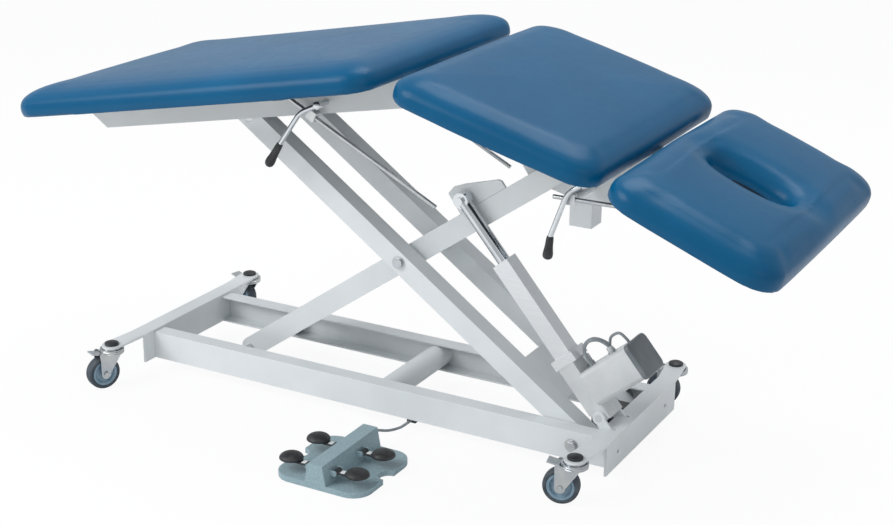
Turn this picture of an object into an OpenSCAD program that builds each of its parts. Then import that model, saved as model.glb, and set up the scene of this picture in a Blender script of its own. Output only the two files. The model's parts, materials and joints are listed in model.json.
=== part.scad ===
/* [Base frame] */
// Distance between the caster stems along the table
caster_span = 1146; // [1120:2:1180]
// Distance between the caster stems across the table
caster_track = 538; // [520:2:580]
// Width of the base over its two side rails
base_w = 300; // [300:1:320]
// Height of a C-shaped side rail
rail_h = 63.5; // [62:0.5:72]
// Width of a rail's flange
rail_flange = 36; // [30:1:36]
// Wall of the rails
rail_wall = 4; // [3:0.5:4.5]
// Underside of the base rails above the floor
rail_floor = 29.5; // [26:0.5:36]
// Left end of the base rails from the middle of the base
rail_left = 546; // [540:1:552]
// Right end of the base rails from the middle of the base
rail_right = 600; // [598:1:612]
// Thickness of the end angles and caster arms
angle_t = 5; // [4:0.5:6]
// Length by which each end angle passes the rails
angle_over = 36; // [30:1:44]
// Width of the end angles' flange
angle_flange = 40; // [34:1:46]
// Diameter of the round cross tube
cross_tube_d = 54.5; // [50:0.5:54.5]
// Place of the round cross tube from the middle of the base
cross_tube_x = 52; // [30:1:90]

/* [Casters] */
// Diameter of a caster wheel
wheel_d = 75; // [72:1:76]
// Width of a caster tyre
wheel_w = 25; // [20:1:27]
// Distance from the stem to the wheel axle
caster_trail = 25; // [22:1:28]
// Diameter of the swivel race
race_d = 44; // [40:1:46]
// Diameter of the caster stem
stem_d = 11; // [10:0.5:12]
// Diameter of the black cap on a stem
cap_d = 32; // [28:1:36]

/* [Lift] */
// Angle of the legs above the floor as photographed
leg_angle = 35.3; // [33:0.1:37]
// Lower pivot to the centre pivot of the scissor
half_leg = 525.5; // [520:0.5:530]
// Centre pivot to the top axle of the outer legs
outer_upper = 460; // [450:1:466]
// Centre pivot to the top pivot of the inner arms
inner_upper = 446; // [440:1:452]
// Lower leg pivot from the middle of the base
leg_pivot_x = 512; // [508:1:514]
// Height of an outer leg's section
leg_h = 45; // [42:1:46]
// Width of an outer leg's section
leg_w = 45; // [40:1:45]
// Wall of the outer legs
leg_wall = 3; // [2:0.5:4]
// Height of an inner arm's section
arm_h = 48; // [44:1:50]
// Width of an inner arm's section
arm_w = 25; // [22:1:26]
// Diameter of the pivot bolts
pivot_d = 16; // [14:1:18]
// Diameter of the track rollers
roller_d = 54; // [50:0.5:54.5]

/* [Actuator] */
// Middle plane of the actuator from the middle of the table
ram_y = 74; // [74:0.5:75]
// Square section of the actuator tube
ram_tube = 40; // [36:1:41]
// Diameter of the piston rod
rod_d = 28; // [24:1:30]
// Place of the actuator's lower pin along the base
ram_pin_x = 553; // [550:1:556]
// Height of the actuator's lower pin above the floor
ram_pin_z = 115; // [112:1:118]
// Length of the actuator tube above its flange
ram_tube_len = 228; // [200:1:232]
// Length of the motor
motor_len = 124; // [110:1:128]
// Height of the motor
motor_h = 76; // [70:1:78]
// Width of the motor
motor_w = 86; // [76:1:87]

/* [Table top] */
// Width of the cushions
top_w = 686; // [660:2:760]
// Thickness of a cushion at its edge
pad_t = 50; // [46:1:52]
// Rise of a cushion's middle over its edge
pad_crown = 6; // [2:1:10]
// Corner radius of the cushions
pad_corner = 62; // [50:1:90]
// How far the middle of a cushion's side is drawn in
pad_draw = 4; // [0:0.5:8]
// Length of the long cushion
long_len = 924; // [900:2:980]
// Length of the middle cushion
mid_len = 461; // [458:1:466]
// Length of the head cushion
head_len = 368; // [350:2:390]
// Thickness of the boards
board_t = 9.3; // [8:0.1:9.4]
// Gap between neighbouring cushions when the top is flat
pad_gap = 4; // [4:0.5:8]
// Slope of the long section as photographed
long_slope = 10.8; // [9:0.1:12]
// Slope of the middle section as photographed
mid_slope = 15.4; // [13:0.1:16]
// Slope of the head section as photographed
head_slope = 21.8; // [18:0.1:24]
// Length of the face opening along the table
face_len = 190; // [170:2:196]
// Width of the face opening
face_w = 76; // [64:1:80]

/* [Levers and locks] */
// Diameter of the lever rods
lever_d = 11; // [9:0.5:12]
// Diameter of a lever's grip
grip_d = 21; // [18:1:22]
// Diameter of the locking rods
lock_d = 9; // [8:0.5:9]

/* [Foot switch] */
// Length of the foot switch across the table
switch_len = 214; // [204:2:230]
// Width of the foot switch along the table
switch_w = 214; // [204:2:230]
// Thickness of its base plate
switch_t = 12; // [10:1:16]
// Width of its middle ridge
ridge_w = 50; // [44:1:56]
// Height of the middle ridge above the floor
ridge_h = 54; // [48:1:60]
// Diameter of a foot button
button_d = 50; // [44:1:52]
// Diameter of the foot switch cord
cord_d = 6; // [5:0.5:7]

/* [Hidden] */

// Faces of a round part
round_fn = 48;
// Running clearance of a pin in its bore
fit = 0.05;
// Clearance between pieces that slide past each other
slip = 0.3;
// Overrun of a cut
over = 1;
// Full turn and half turn
turn = 360;
half_turn = 180;

// Side planes of the frame
rail_out = base_w / 2;
rail_in = rail_out - rail_flange;
web_in = rail_out - rail_wall;
leg_gap = 2;
leg_out = rail_in - leg_gap;
leg_in = leg_out - leg_w;
spine_out = 25;
spine_t = 6;
arm_gap = 2;
arm_in = spine_out + arm_gap;
arm_out = arm_in + arm_w;
rail_top = rail_floor + rail_h;

// Scissor geometry
leg_pivot_z = rail_floor + rail_wall + slip + roller_d / 2;
centre_x = leg_pivot_x - half_leg * cos(leg_angle);
centre_z = leg_pivot_z + half_leg * sin(leg_angle);
track_x = centre_x - half_leg * cos(leg_angle);
top_x = centre_x + inner_upper * cos(leg_angle);
top_z = centre_z + inner_upper * sin(leg_angle);

// Ridge hinge seen from the top pivot, along and square to the middle frame
ridge_back = 322.4;
ridge_rise = 29.4;
ridge_x = top_x - ridge_back * cos(mid_slope) + ridge_rise * sin(mid_slope);
ridge_z = top_z + ridge_back * sin(mid_slope) + ridge_rise * cos(mid_slope);
ridge_r = 10;

// Heights above the ridge hinge, square to each section
long_top = 43.8;
board_gap = 0.2;
board_low = long_top + board_gap;
pad_low = board_low + board_t;
pad_r = pad_t / 2;
pad_mid = pad_low + pad_r;
junction = 8;
long_end = junction - pad_gap / 2;
mid_start = junction + pad_gap / 2;
mid_end = mid_start + mid_len;
board_inset = 26;
raise_x = long_end - pad_r;

// Head hinge seen from the ridge hinge
head_hinge_x = mid_end + pad_gap / 2;
head_hinge_z = 36;
head_x = ridge_x + head_hinge_x * cos(mid_slope) + head_hinge_z * sin(mid_slope);
head_z = ridge_z - head_hinge_x * sin(mid_slope) + head_hinge_z * cos(mid_slope);
head_start = pad_gap / 2;

// Actuator geometry, its rod end seen from the centre pivot along the inner arm
rod_eye_x = 193;
rod_eye_z = 46.6;
rod_end_x = centre_x + rod_eye_x * cos(leg_angle) - rod_eye_z * sin(leg_angle);
rod_end_z = centre_z + rod_eye_x * sin(leg_angle) + rod_eye_z * cos(leg_angle);
ram_angle = atan2(rod_end_z - ram_pin_z, rod_end_x - ram_pin_x);
ram_len = norm([rod_end_z - ram_pin_z, rod_end_x - ram_pin_x]);

// Foot switch place from the middle of the base
switch_x = 103;
switch_gap = 110;
switch_y = -rail_out - switch_gap - switch_len / 2;

// The whole part is moved so that its box stands over the origin
box_left = ridge_x + (long_end - long_len) * cos(long_slope) - pad_mid * sin(long_slope);
box_right = head_x + (head_start + head_len - pad_r) * cos(head_slope)
  + (pad_mid - head_hinge_z) * sin(head_slope) + pad_r;
box_near = switch_y - switch_len / 2;
box_far = top_w / 2;
shift_x = -(box_left + box_right) / 2;
shift_y = -(box_near + box_far) / 2;

module placed() translate([shift_x, shift_y, 0]) children();
module both_sides() { children(); mirror([0, 1, 0]) children(); }
module on_outer() placed() translate([centre_x, 0, centre_z]) rotate([0, leg_angle, 0]) children();
module on_inner() placed() translate([centre_x, 0, centre_z]) rotate([0, -leg_angle, 0]) children();
module on_long() placed() translate([ridge_x, 0, ridge_z]) rotate([0, -long_slope, 0]) children();
module on_mid() placed() translate([ridge_x, 0, ridge_z]) rotate([0, mid_slope, 0]) children();
module on_head() placed() translate([head_x, 0, head_z]) rotate([0, head_slope, 0]) children();
module on_ram() placed() translate([ram_pin_x, -ram_y, ram_pin_z]) rotate([0, -ram_angle, 0]) children();

// A bar across the table from y0 to y1, round the point x, z
module across(x, z, y0, y1, r)
  translate([x, y1, z]) rotate([90, 0, 0]) cylinder(h = y1 - y0, r = r, $fn = round_fn);
// A flat outline in the XZ plane, thickened from y0 to y1
module sheet(y0, y1) translate([0, y1, 0]) rotate([90, 0, 0]) linear_extrude(y1 - y0) children();
module disc(x, z, r) translate([x, z]) circle(r = r, $fn = round_fn);
// A bar between two points of the XZ plane, at the given y
module strut(p, q, y, r) {
  d = q - p;
  translate([p[0], y, p[1]]) rotate([0, atan2(d[0], d[1]), 0]) cylinder(h = norm(d), r = r, $fn = round_fn);
}
module ball(p, y, r) translate([p[0], y, p[1]]) sphere(r = r + slip, $fn = round_fn);

// A C-shaped rail lying along X between two ends, its web at y_out
module channel(x0, x1, low) {
  difference() {
    translate([x0, -rail_out, low]) cube([x1 - x0, rail_flange, rail_h]);
    translate([x0 - over, -web_in, low + rail_wall])
      cube([x1 - x0 + 2 * over, rail_flange, rail_h - 2 * rail_wall]);
  }
}

module base_rail() {
  difference() {
    channel(-rail_left, rail_right, rail_floor);
    across(leg_pivot_x, leg_pivot_z, -rail_out - over, -rail_in, pivot_d / 2 + fit);
  }
}
module rail_near() color("gainsboro") placed() base_rail();
module rail_far() color("gainsboro") placed() mirror([0, 1, 0]) base_rail();

// Caster arms and end angles
angle_half = rail_out + angle_over;
arm_end_r = 22;
stem_x = caster_span / 2;
stem_y = caster_track / 2;
plate_hole_r = 4.5;
plate_hole_z = rail_h / 2;
plate_hole_y = 128;

// One flange with a caster arm at each end, its lower face on the rails, from x0 towards +X
module arm_plate(side, x0) translate([0, 0, rail_top]) linear_extrude(angle_t) difference() {
  union() {
    translate([x0, -angle_half]) square([angle_flange, 2 * angle_half]);
    for (m = [0, 1]) mirror([0, m]) {
      disc(side * stem_x, -stem_y, arm_end_r);
      polygon([
        [x0, -angle_half + over],
        [side * stem_x - arm_end_r, -stem_y],
        [side * stem_x + arm_end_r, -stem_y],
        [x0 + angle_flange, -angle_half + over]
      ]);
    }
  }
  for (k = [-1, 1]) disc(side * stem_x, k * stem_y, stem_d / 2 + fit);
}
module end_angle_left() color("gainsboro") placed() {
  translate([-rail_left - angle_t, -angle_half, rail_floor]) cube([angle_t, 2 * angle_half, rail_h]);
  arm_plate(-1, -rail_left - angle_flange);
}
module end_angle_right() color("gainsboro") placed() {
  difference() {
    translate([rail_right, -angle_half, rail_floor]) cube([angle_t, 2 * angle_half, rail_h]);
    for (s = [-1, 1]) translate([rail_right - over, s * plate_hole_y, rail_floor + plate_hole_z])
      rotate([0, 90, 0]) cylinder(h = angle_t + 2 * over, r = plate_hole_r, $fn = round_fn);
  }
  difference() {
    arm_plate(1, rail_right + angle_t - angle_flange);
    for (y = [-ram_y - ear_gap - ear_t, -ram_y + ear_gap]) translate([member_x, y - slip, rail_top - over])
      cube([ear_foot, ear_t + 2 * slip, angle_t + 2 * over]);
  }
}

module base_cross_tube() color("silver") placed() difference() {
  across(cross_tube_x, rail_floor + rail_h / 2, -web_in, web_in, cross_tube_d / 2);
  across(cross_tube_x, rail_floor + rail_h / 2, -web_in - over, web_in + over, cross_tube_d / 2 - rail_wall);
}

// Cross member with two ears for the actuator's lower pin
member_x = 558;
member_w = 36;
member_h = rail_h - 2 * rail_wall - 2 * slip;
ear_t = 6;
ear_gap = 33;
ear_r = 14;
ram_pin_r = 8;
ear_foot = 32;
module pin_ear(y) sheet(y, y + ear_t) difference() {
  union() {
    disc(ram_pin_x, ram_pin_z, ear_r);
    polygon([
      [ram_pin_x - ear_r, ram_pin_z],
      [member_x, rail_floor + rail_wall + slip + member_h],
      [member_x + ear_foot, rail_floor + rail_wall + slip + member_h],
      [ram_pin_x + ear_r, ram_pin_z]
    ]);
  }
  disc(ram_pin_x, ram_pin_z, ram_pin_r + fit);
}
module actuator_cross_member() color("silver") placed() {
  translate([member_x, -web_in, rail_floor + rail_wall + slip]) cube([member_w, 2 * web_in, member_h]);
  pin_ear(-ram_y - ear_gap - ear_t);
  pin_ear(-ram_y + ear_gap);
}

// Casters
wheel_r = wheel_d / 2;
race_h = 12;
race_top = rail_top - slip;
race_low = race_top - race_h;
cap_h = 9;
cap_z = rail_top + angle_t;
fork_t = 3;
fork_gap = 2.5;
axle_r = 4;
hub_r = 24;
stem_gap = 1;
stem_low = race_low + stem_gap;
turns = [[-1, -1, 246], [1, -1, 193], [-1, 1, 168], [1, 1, 186]];

module at_caster(i) placed() translate([turns[i][0] * stem_x, turns[i][1] * stem_y, 0])
  rotate([0, 0, turns[i][2]]) children();

module caster_stems() color("black") for (i = [0 : 3]) at_caster(i) {
  translate([0, 0, stem_low]) cylinder(h = cap_z - stem_low, r = stem_d / 2, $fn = round_fn);
  translate([0, 0, cap_z]) intersection() {
    cylinder(h = cap_h, r = cap_d / 2, $fn = round_fn);
    translate([0, 0, cap_h - cap_d]) sphere(r = cap_d, $fn = round_fn);
  }
}

// Fork: swivel race, two cheeks and the axle, trailing along +X
module caster_fork(i) color("silver") at_caster(i) {
  difference() {
    translate([0, 0, race_low]) cylinder(h = race_h, r = race_d / 2, $fn = round_fn);
    translate([0, 0, race_low - over]) cylinder(h = race_h + 2 * over, r = stem_d / 2 + fit, $fn = round_fn);
  }
  both_sides() sheet(cheek_in, cheek_in + fork_t) difference() {
    union() {
      disc(caster_trail, wheel_r, fork_cheek);
      polygon([
        [-race_d * cheek_share, race_low + over], [race_d * cheek_share, race_low + over],
        [brake_x, brake_z + brake_ear], [brake_x + brake_ear, brake_z],
        [caster_trail + fork_cheek, wheel_r], [caster_trail - fork_cheek, wheel_r]
      ]);
      disc(brake_x, brake_z, brake_ear);
    }
    disc(brake_x, brake_z, brake_r + fit);
  }
  across(caster_trail, wheel_r, -cheek_in - over, cheek_in + over, axle_r);
}
cheek_in = wheel_w / 2 + fork_gap;
fork_cheek = 11;
cheek_share = 0.36;

module caster_wheel(i) color("dimgray") at_caster(i) difference() {
  union() {
    across(caster_trail, wheel_r, -wheel_w / 2, wheel_w / 2, wheel_r - tyre_round);
    across(caster_trail, wheel_r, -wheel_w / 2 + tyre_round, wheel_w / 2 - tyre_round, wheel_r);
  }
  across(caster_trail, wheel_r, -wheel_w / 2 - over, wheel_w / 2 + over, axle_r + fit);
  both_sides() across(caster_trail, wheel_r, wheel_w / 2 - hub_dish, wheel_w / 2 + over, hub_r);
}
tyre_round = 2.5;
hub_dish = 3;

// Brake pedal over the trailing side of the wheel
brake_x = 31;
brake_rise = 2;
brake_z = race_low + brake_rise;
brake_ear = 6;
brake_r = 3;
brake_w = 26;
brake_len = 24;
brake_t = 3;
brake_tilt = 12;
module caster_brake(i) color("lightgray") at_caster(i) {
  across(brake_x, brake_z, -cheek_in - fork_t, cheek_in + fork_t, brake_r);
  translate([brake_x, -brake_w / 2, brake_z]) rotate([0, -brake_tilt, 0]) cube([brake_len, brake_w, brake_t]);
}

// Black control box between the rails, on the side of the cross member
box_l = 56;
box_h = 44;
box_w = 90;
module control_box() color("darkslategray") placed()
  translate([member_x - box_l, -box_w / 3, rail_floor + rail_h / 2 - box_h / 2]) cube([box_l, box_w, box_h]);

// Foot switch: base plate with four lobes, middle ridge, four buttons on straps
lobe_r = 42;
strap_w = 20;
strap_t = 4;
strap_z = 33;
button_x_share = 0.365;
button_y_share = 0.235;
button_back = 22;
button_h = 18;
switch_slope = 8;
pin_r = 3;
module at_switch() placed() translate([switch_x, switch_y, 0]) children();

module foot_switch_body() color("lightslategray") at_switch() {
  linear_extrude(switch_t) difference() {
    union() {
      for (i = [-1, 1], k = [-1, 1]) disc(i * (switch_w / 2 - lobe_r), k * (switch_len / 2 - lobe_r), lobe_r);
      square([switch_w, switch_len - 2 * lobe_r], center = true);
      square([switch_w - 2 * lobe_r, switch_len], center = true);
    }
    for (i = [-1, 1]) disc(i * switch_w / 2, 0, lobe_r / 2);
  }
  translate([0, switch_len / 2, 0]) rotate([90, 0, 0]) linear_extrude(switch_len) polygon([
    [-ridge_w / 2, switch_t], [-ridge_w / 2 + switch_slope, ridge_h],
    [ridge_w / 2 - switch_slope, ridge_h], [ridge_w / 2, switch_t]
  ]);
  for (i = [-1, 1], k = [-1, 1]) translate([i * strap_root, k * switch_len * button_y_share - button_back, strap_z]) {
    across(0, 0, -strap_w / 2 - slip - lug_t, strap_w / 2 + slip + lug_t, pin_r);
    both_sides() sheet(strap_w / 2 + slip, strap_w / 2 + slip + lug_t) {
      disc(0, 0, lug_r);
      translate([min(0, -i * lug_len), -lug_r]) square([lug_len, 2 * lug_r]);
    }
  }
}
strap_out = 6;
strap_root = ridge_w / 2 + strap_out;
lug_t = 4;
lug_r = 6;
lug_len = 14;

// Strap and domed button, i and k give the side of the ridge
module foot_button(i, k) color("black") at_switch()
  translate([0, k * switch_len * button_y_share - button_back, 0]) {
    difference() {
      union() {
        across(i * strap_root, strap_z, -strap_w / 2, strap_w / 2, lug_r);
        translate([min(i * strap_root, i * switch_w * button_x_share), -strap_w / 2, strap_z - strap_t / 2])
          cube([switch_w * button_x_share - strap_root, strap_w, strap_t]);
      }
      across(i * strap_root, strap_z, -strap_w / 2 - over, strap_w / 2 + over, pin_r + fit);
    }
    translate([i * switch_w * button_x_share, 0, strap_z - strap_t / 2])
      cylinder(h = strap_t + 4 * slip, r = button_d / 2, $fn = round_fn);
    translate([i * switch_w * button_x_share, 0, strap_z + strap_t / 2]) intersection() {
      cylinder(h = button_h, r = button_d / 2, $fn = round_fn);
      translate([0, 0, button_h - button_d]) sphere(r = button_d, $fn = round_fn);
    }
  }
module foot_button_1() foot_button(-1, 1);
module foot_button_2() foot_button(-1, -1);
module foot_button_3() foot_button(1, 1);
module foot_button_4() foot_button(1, -1);

// Foot switch cord: hand-chosen points from the ridge's end to the clip under the rail
cord_points = [
  [104, -260, 36], [104, -250, 36], [105, -240, 34.5], [107, -230, 31], [110, -220, 27],
  [113, -210, 23.5], [116, -200, 21], [119, -190, 19.5], [122, -180, 18.5], [125, -171, 18.5], [126, -166.5, 19],
  [127, -162, 19.5], [129, -154, 21], [130, -146, 22], [130, -137, 22]
];
cord_end = cord_points[len(cord_points) - 1];
function ring_at(p, d, n) = let (s = cross([0, 0, 1], d), u = s / norm(s), v = cross(d, u) / norm(d))
  [for (i = [0 : n - 1]) p + (u * cos(turn * i / n) + v * sin(turn * i / n)) * cord_d / 2];
module sweep_tube(pts, n) {
  last = len(pts) - 1;
  rings = [for (i = [0 : last]) ring_at(pts[i], pts[min(i + 1, last)] - pts[max(i - 1, 0)], n)];
  polyhedron(
    points = [for (r = rings, p = r) p],
    faces = concat(
      [[for (i = [0 : n - 1]) i]],
      [for (k = [0 : last - 1], i = [0 : n - 1]) [k * n + i, (k + 1) * n + i, (k + 1) * n + (i + 1) % n]],
      [for (k = [0 : last - 1], i = [0 : n - 1]) [k * n + i, (k + 1) * n + (i + 1) % n, k * n + (i + 1) % n]],
      [[for (i = [n - 1 : -1 : 0]) last * n + i]]
    )
  );
}
module foot_switch_cord() color("gray") placed() sweep_tube(cord_points, 8);

// Clip under the near rail that takes the cord's end
clip_w = 22;
clip_len = 20;
module cord_clip() color("black") placed()
  translate([cord_end[0] - clip_w / 2, cord_end[1], cord_end[2] - cord_d])
    cube([clip_w, clip_len, rail_floor - cord_end[2] + cord_d]);

// Outer legs, in the plane of the scissor, +X down to the lower pivot
leg_foot = 26;
leg_cut = 20;
module leg() {
  difference() {
    sheet(-leg_out, -leg_in) difference() {
      polygon([
        [-outer_upper, leg_h / 2], [-outer_upper - leg_cut, -leg_h / 2],
        [half_leg + leg_foot, -leg_h / 2], [half_leg + leg_foot, leg_h / 2]
      ]);
      disc(half_leg, 0, pivot_d / 2 + fit);
      disc(0, 0, pivot_d / 2 + fit);
      disc(-outer_upper, 0, axle_tube_r + fit);
    }
    translate([-outer_upper - leg_cut - over, -leg_out + leg_wall, -leg_h / 2 + leg_wall])
      cube([half_leg + leg_foot + outer_upper + leg_cut + 2 * over, leg_w - 2 * leg_wall, leg_h - 2 * leg_wall]);
  }
}
module outer_leg_near() color("whitesmoke") on_outer() leg();
module outer_leg_far() color("whitesmoke") on_outer() mirror([0, 1, 0]) leg();

axle_tube_r = 12;
module leg_top_axle() color("silver") on_outer() across(-outer_upper, 0, -leg_out, leg_out, axle_tube_r);

plate_len = 122;
plate_foot = 198.5;
plate_start = half_leg - plate_foot;
plate_t = 4;
module leg_cross_plate() color("whitesmoke") on_outer()
  translate([plate_start, -leg_in, leg_h / 2 - plate_t]) cube([plate_len, 2 * leg_in, plate_t]);

// Bolts of the lower pivots with heads outside the rails, and the centre bolt
bolt_head_r = 11;
bolt_head_h = 7;
module pivot_bolts() color("silver") on_outer() {
  both_sides() {
    across(half_leg, 0, -rail_out - slip, -leg_in, pivot_d / 2);
    across(half_leg, 0, -rail_out - slip - bolt_head_h, -rail_out - slip, bolt_head_r);
    across(half_leg, 0, -web_in + slip, -leg_out, pivot_d / 2 + rail_wall);
    across(0, 0, -leg_out - bolt_head_h, -leg_out, bolt_head_r);
  }
  across(0, 0, -leg_out, leg_out, pivot_d / 2);
}

// Inner arms, +X up to the top pivot
axle_r2 = 9;
pivot_shaft_r = 12;
module inner_arms() color("whitesmoke") on_inner() both_sides() sheet(-arm_out, -arm_in) difference() {
  union() {
    disc(-half_leg, 0, arm_h / 2);
    disc(inner_upper, 0, arm_h / 2);
    translate([-half_leg, -arm_h / 2]) square([half_leg + inner_upper, arm_h]);
  }
  disc(-half_leg, 0, axle_r2 + fit);
  disc(0, 0, pivot_d / 2 + fit);
  disc(inner_upper, 0, pivot_shaft_r + fit);
}

// Hook plate standing on the near arm, and the cross tube that stiffens it
hook_t = 6;
hook_start = 155;
hook_len = 128;
hook_h = 56;
hook_shares = [[0, 0], [0, 0.893], [0.156, 1], [0.375, 0.875], [0.953, 0.393], [0.992, 0.286], [1, 0]];
module rod_hook() color("whitesmoke") on_inner() sheet(-arm_out + slip, -arm_out + slip + hook_t)
  translate([hook_start, arm_h / 2]) polygon([for (p = hook_shares) [p[0] * hook_len, p[1] * hook_h]]);

// Rollers that run in the base rails, and their axle
roller_w = 22;
roller_gap = 3;
axle_end = web_in - roller_gap + over;
module track_rollers() color("silver") on_inner() {
  across(-half_leg, 0, -axle_end, axle_end, axle_r2);
  both_sides() across(-half_leg, 0, -web_in + roller_gap, -web_in + roller_gap + roller_w, roller_d / 2);
}

shaft_over = 3;
module top_pivot_shaft() color("silver") on_inner()
  across(inner_upper, 0, -arm_out - shaft_over, arm_out + shaft_over, pivot_shaft_r);

// Middle frame: two side plates along the middle of the table
spine_nose = 20;
spine_depth = 114;
belly_shares = [[0.94, 0.7], [0.745, 0.965], [0.507, 1], [0.419, 0.7]];
head_pin_r = 6;
head_ear_r = 14;
lever_shaft_r = 6;
head_lever_x = 388;
head_lever_z = -23;
head_clamp_x = 366;
head_clamp_z = -69;
carrier_r = 10;
module middle_side_plates() color("gainsboro") on_mid() both_sides() sheet(-spine_out, -spine_out + spine_t)
  difference() {
    union() {
      polygon([
        [-spine_nose, -head_ear_r], [-spine_nose, head_ear_r], [spine_nose, long_top],
        [head_hinge_x - spine_nose, long_top], [head_hinge_x, head_hinge_z + head_ear_r],
        [head_hinge_x + head_ear_r, head_hinge_z],
        for (p = belly_shares) [p[0] * head_hinge_x, -p[1] * spine_depth]
      ]);
      disc(head_hinge_x, head_hinge_z, head_ear_r);
    }
    disc(0, 0, ridge_r + fit);
    disc(ridge_back, -ridge_rise, pivot_shaft_r + fit);
    disc(head_hinge_x, head_hinge_z, head_pin_r + fit);
    disc(head_lever_x, head_lever_z, lever_shaft_r + fit);
  }

// Post under the top pivot, spacer tubes, clamp carrier and the head hinge's pin
post_w = 50;
post_len = 52;
post_x = 355;
post_z = -112;
post_tongue = 42;
spacer_x = 120;
spacer_drop = 40;
spine_in = spine_out - spine_t;
module middle_cross_tubes() color("gainsboro") on_mid() {
  translate([post_x, 0, post_z]) rotate([0, -mid_slope, 0]) {
    translate([-post_w / 2, -post_w / 2, -post_len]) difference() {
      cube([post_w, post_w, post_len]);
      translate([leg_wall, leg_wall, -over]) cube([post_w - 2 * leg_wall, post_w - 2 * leg_wall, post_len - leg_wall]);
    }
    translate([-post_w / 2, -spine_in, -leg_wall]) cube([post_w, 2 * spine_in, post_tongue]);
  }
  difference() {
    across(head_clamp_x, head_clamp_z, -carrier_end, -spine_out, carrier_r);
    across(head_clamp_x, head_clamp_z, -carrier_end - over, -carrier_end + clamp_pin_len + over, clamp_pin_r + fit);
  }
  across(spacer_x, 0, -spine_in, spine_in, carrier_r);
  across(2 * spacer_x, -spacer_drop, -spine_in, spine_in, carrier_r);
  across(head_hinge_x, head_hinge_z, -spine_out - 2 * spine_t, spine_out + 2 * spine_t, head_pin_r);
}
clamp_t = 11;
clamp_pin_len = 30;
head_lock_y = 126;
carrier_end = head_lock_y - clamp_t / 2 - slip;

module ridge_shaft() color("silver") on_mid() across(0, 0, -rail_out - shaft_over, rail_out + shaft_over, ridge_r);

// A board with rounded corners from x0 to x1
module board(x0, x1, half) linear_extrude(board_t) {
  r = pad_corner - board_inset;
  for (x = [x0 + r, x1 - r], y = [-half + r, half - r]) disc(x, y, r);
  translate([x0, -half + r]) square([x1 - x0, 2 * half - 2 * r]);
  translate([x0 + r, -half]) square([x1 - x0 - 2 * r, 2 * half]);
}
board_half = top_w / 2 - board_inset;
module middle_board() color("tan") on_mid() translate([0, 0, board_low - board_gap])
  board(mid_start + board_inset, mid_end - board_inset, board_half);
module long_board() color("tan") on_long() translate([0, 0, board_low])
  board(long_end - long_len + board_inset, raise_x, board_half);
module head_board() color("tan") on_head() translate([0, 0, board_low - head_hinge_z]) difference() {
  board(head_start + board_inset, head_start + head_len - board_inset, board_half);
  translate([head_start + head_len * face_share, 0, -over]) linear_extrude(board_t + 2 * over) slot(face_grow);
}
// Middle of the face opening as a share of the head cushion
face_share = 0.457;
face_grow = 6;
module slot(grow) {
  h = face_len / 2 - face_w / 2;
  for (s = [-1, 1]) disc(s * h, 0, face_w / 2 + grow);
  square([2 * h, face_w + 2 * grow], center = true);
}

// Cushions: stacked rings of a rounded rectangle whose sides are drawn in
arc_n = 6;
side_n = 5;
function side_bow(s) = 1 - s * s;
function pad_ring(a, b, r, bow) = [
  for (q = [0 : 3], i = [0 : arc_n + side_n - 1])
    let (
      sx = (q == 0 || q == 3) ? 1 : -1, sy = q < 2 ? 1 : -1,
      phi = half_turn / 2 * (q + min(i, arc_n) / arc_n),
      s = i > arc_n ? 1 - 2 * (i - arc_n) / side_n : 1,
      even = q % 2 == 0,
      cx = i <= arc_n || !even ? sx * (a - r) : sx * (a - r) * s,
      cy = i <= arc_n || even ? sy * (b - r) : sy * (b - r) * s,
      d = i > arc_n ? bow * side_bow(s) : 0
    ) [cx + (r - d) * cos(phi), cy + (r - d) * sin(phi)]
];
ring_n = 4 * (arc_n + side_n);
roll_n = 8;
crown_n = 4;
function roll_at(i) = -90 + half_turn * i / roll_n;
module cushion(x0, l) {
  a = l / 2;
  b = top_w / 2;
  roll = [for (i = [0 : roll_n]) let (e = pad_r * (1 - cos(roll_at(i))))
    [for (p = pad_ring(a - e, b - e, pad_corner - e, pad_draw)) [p[0], p[1], pad_r * (1 + sin(roll_at(i)))]]];
  crown = [for (k = [1 : crown_n]) let (s = 1 - k / (crown_n + 1))
    [for (p = pad_ring(a - pad_r, b - pad_r, pad_corner - pad_r, pad_draw))
      [p[0] * s, p[1] * s, pad_t + pad_crown * side_bow(s)]]];
  translate([x0 + a, 0, 0]) stack(concat(roll, crown), false);
}
// Closes stacked rings with flat ends, or into a loop
module stack(rings, loop) {
  m = len(rings);
  n = len(rings[0]);
  top = loop ? m - 1 : m - 2;
  polyhedron(
    points = [for (r = rings, p = r) p],
    faces = concat(
      loop ? [] : [[for (i = [0 : n - 1]) i], [for (i = [n - 1 : -1 : 0]) (m - 1) * n + i]],
      [for (k = [0 : top], i = [0 : n - 1]) [k * n + i, ((k + 1) % m) * n + i, ((k + 1) % m) * n + (i + 1) % n]],
      [for (k = [0 : top], i = [0 : n - 1]) [k * n + i, ((k + 1) % m) * n + (i + 1) % n, k * n + (i + 1) % n]]
    )
  );
}
module middle_cushion() color("steelblue") on_mid() translate([0, 0, pad_low - board_gap]) cushion(mid_start, mid_len);
module long_cushion() color("steelblue") on_long() translate([0, 0, pad_low]) cushion(long_end - long_len, long_len);

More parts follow.
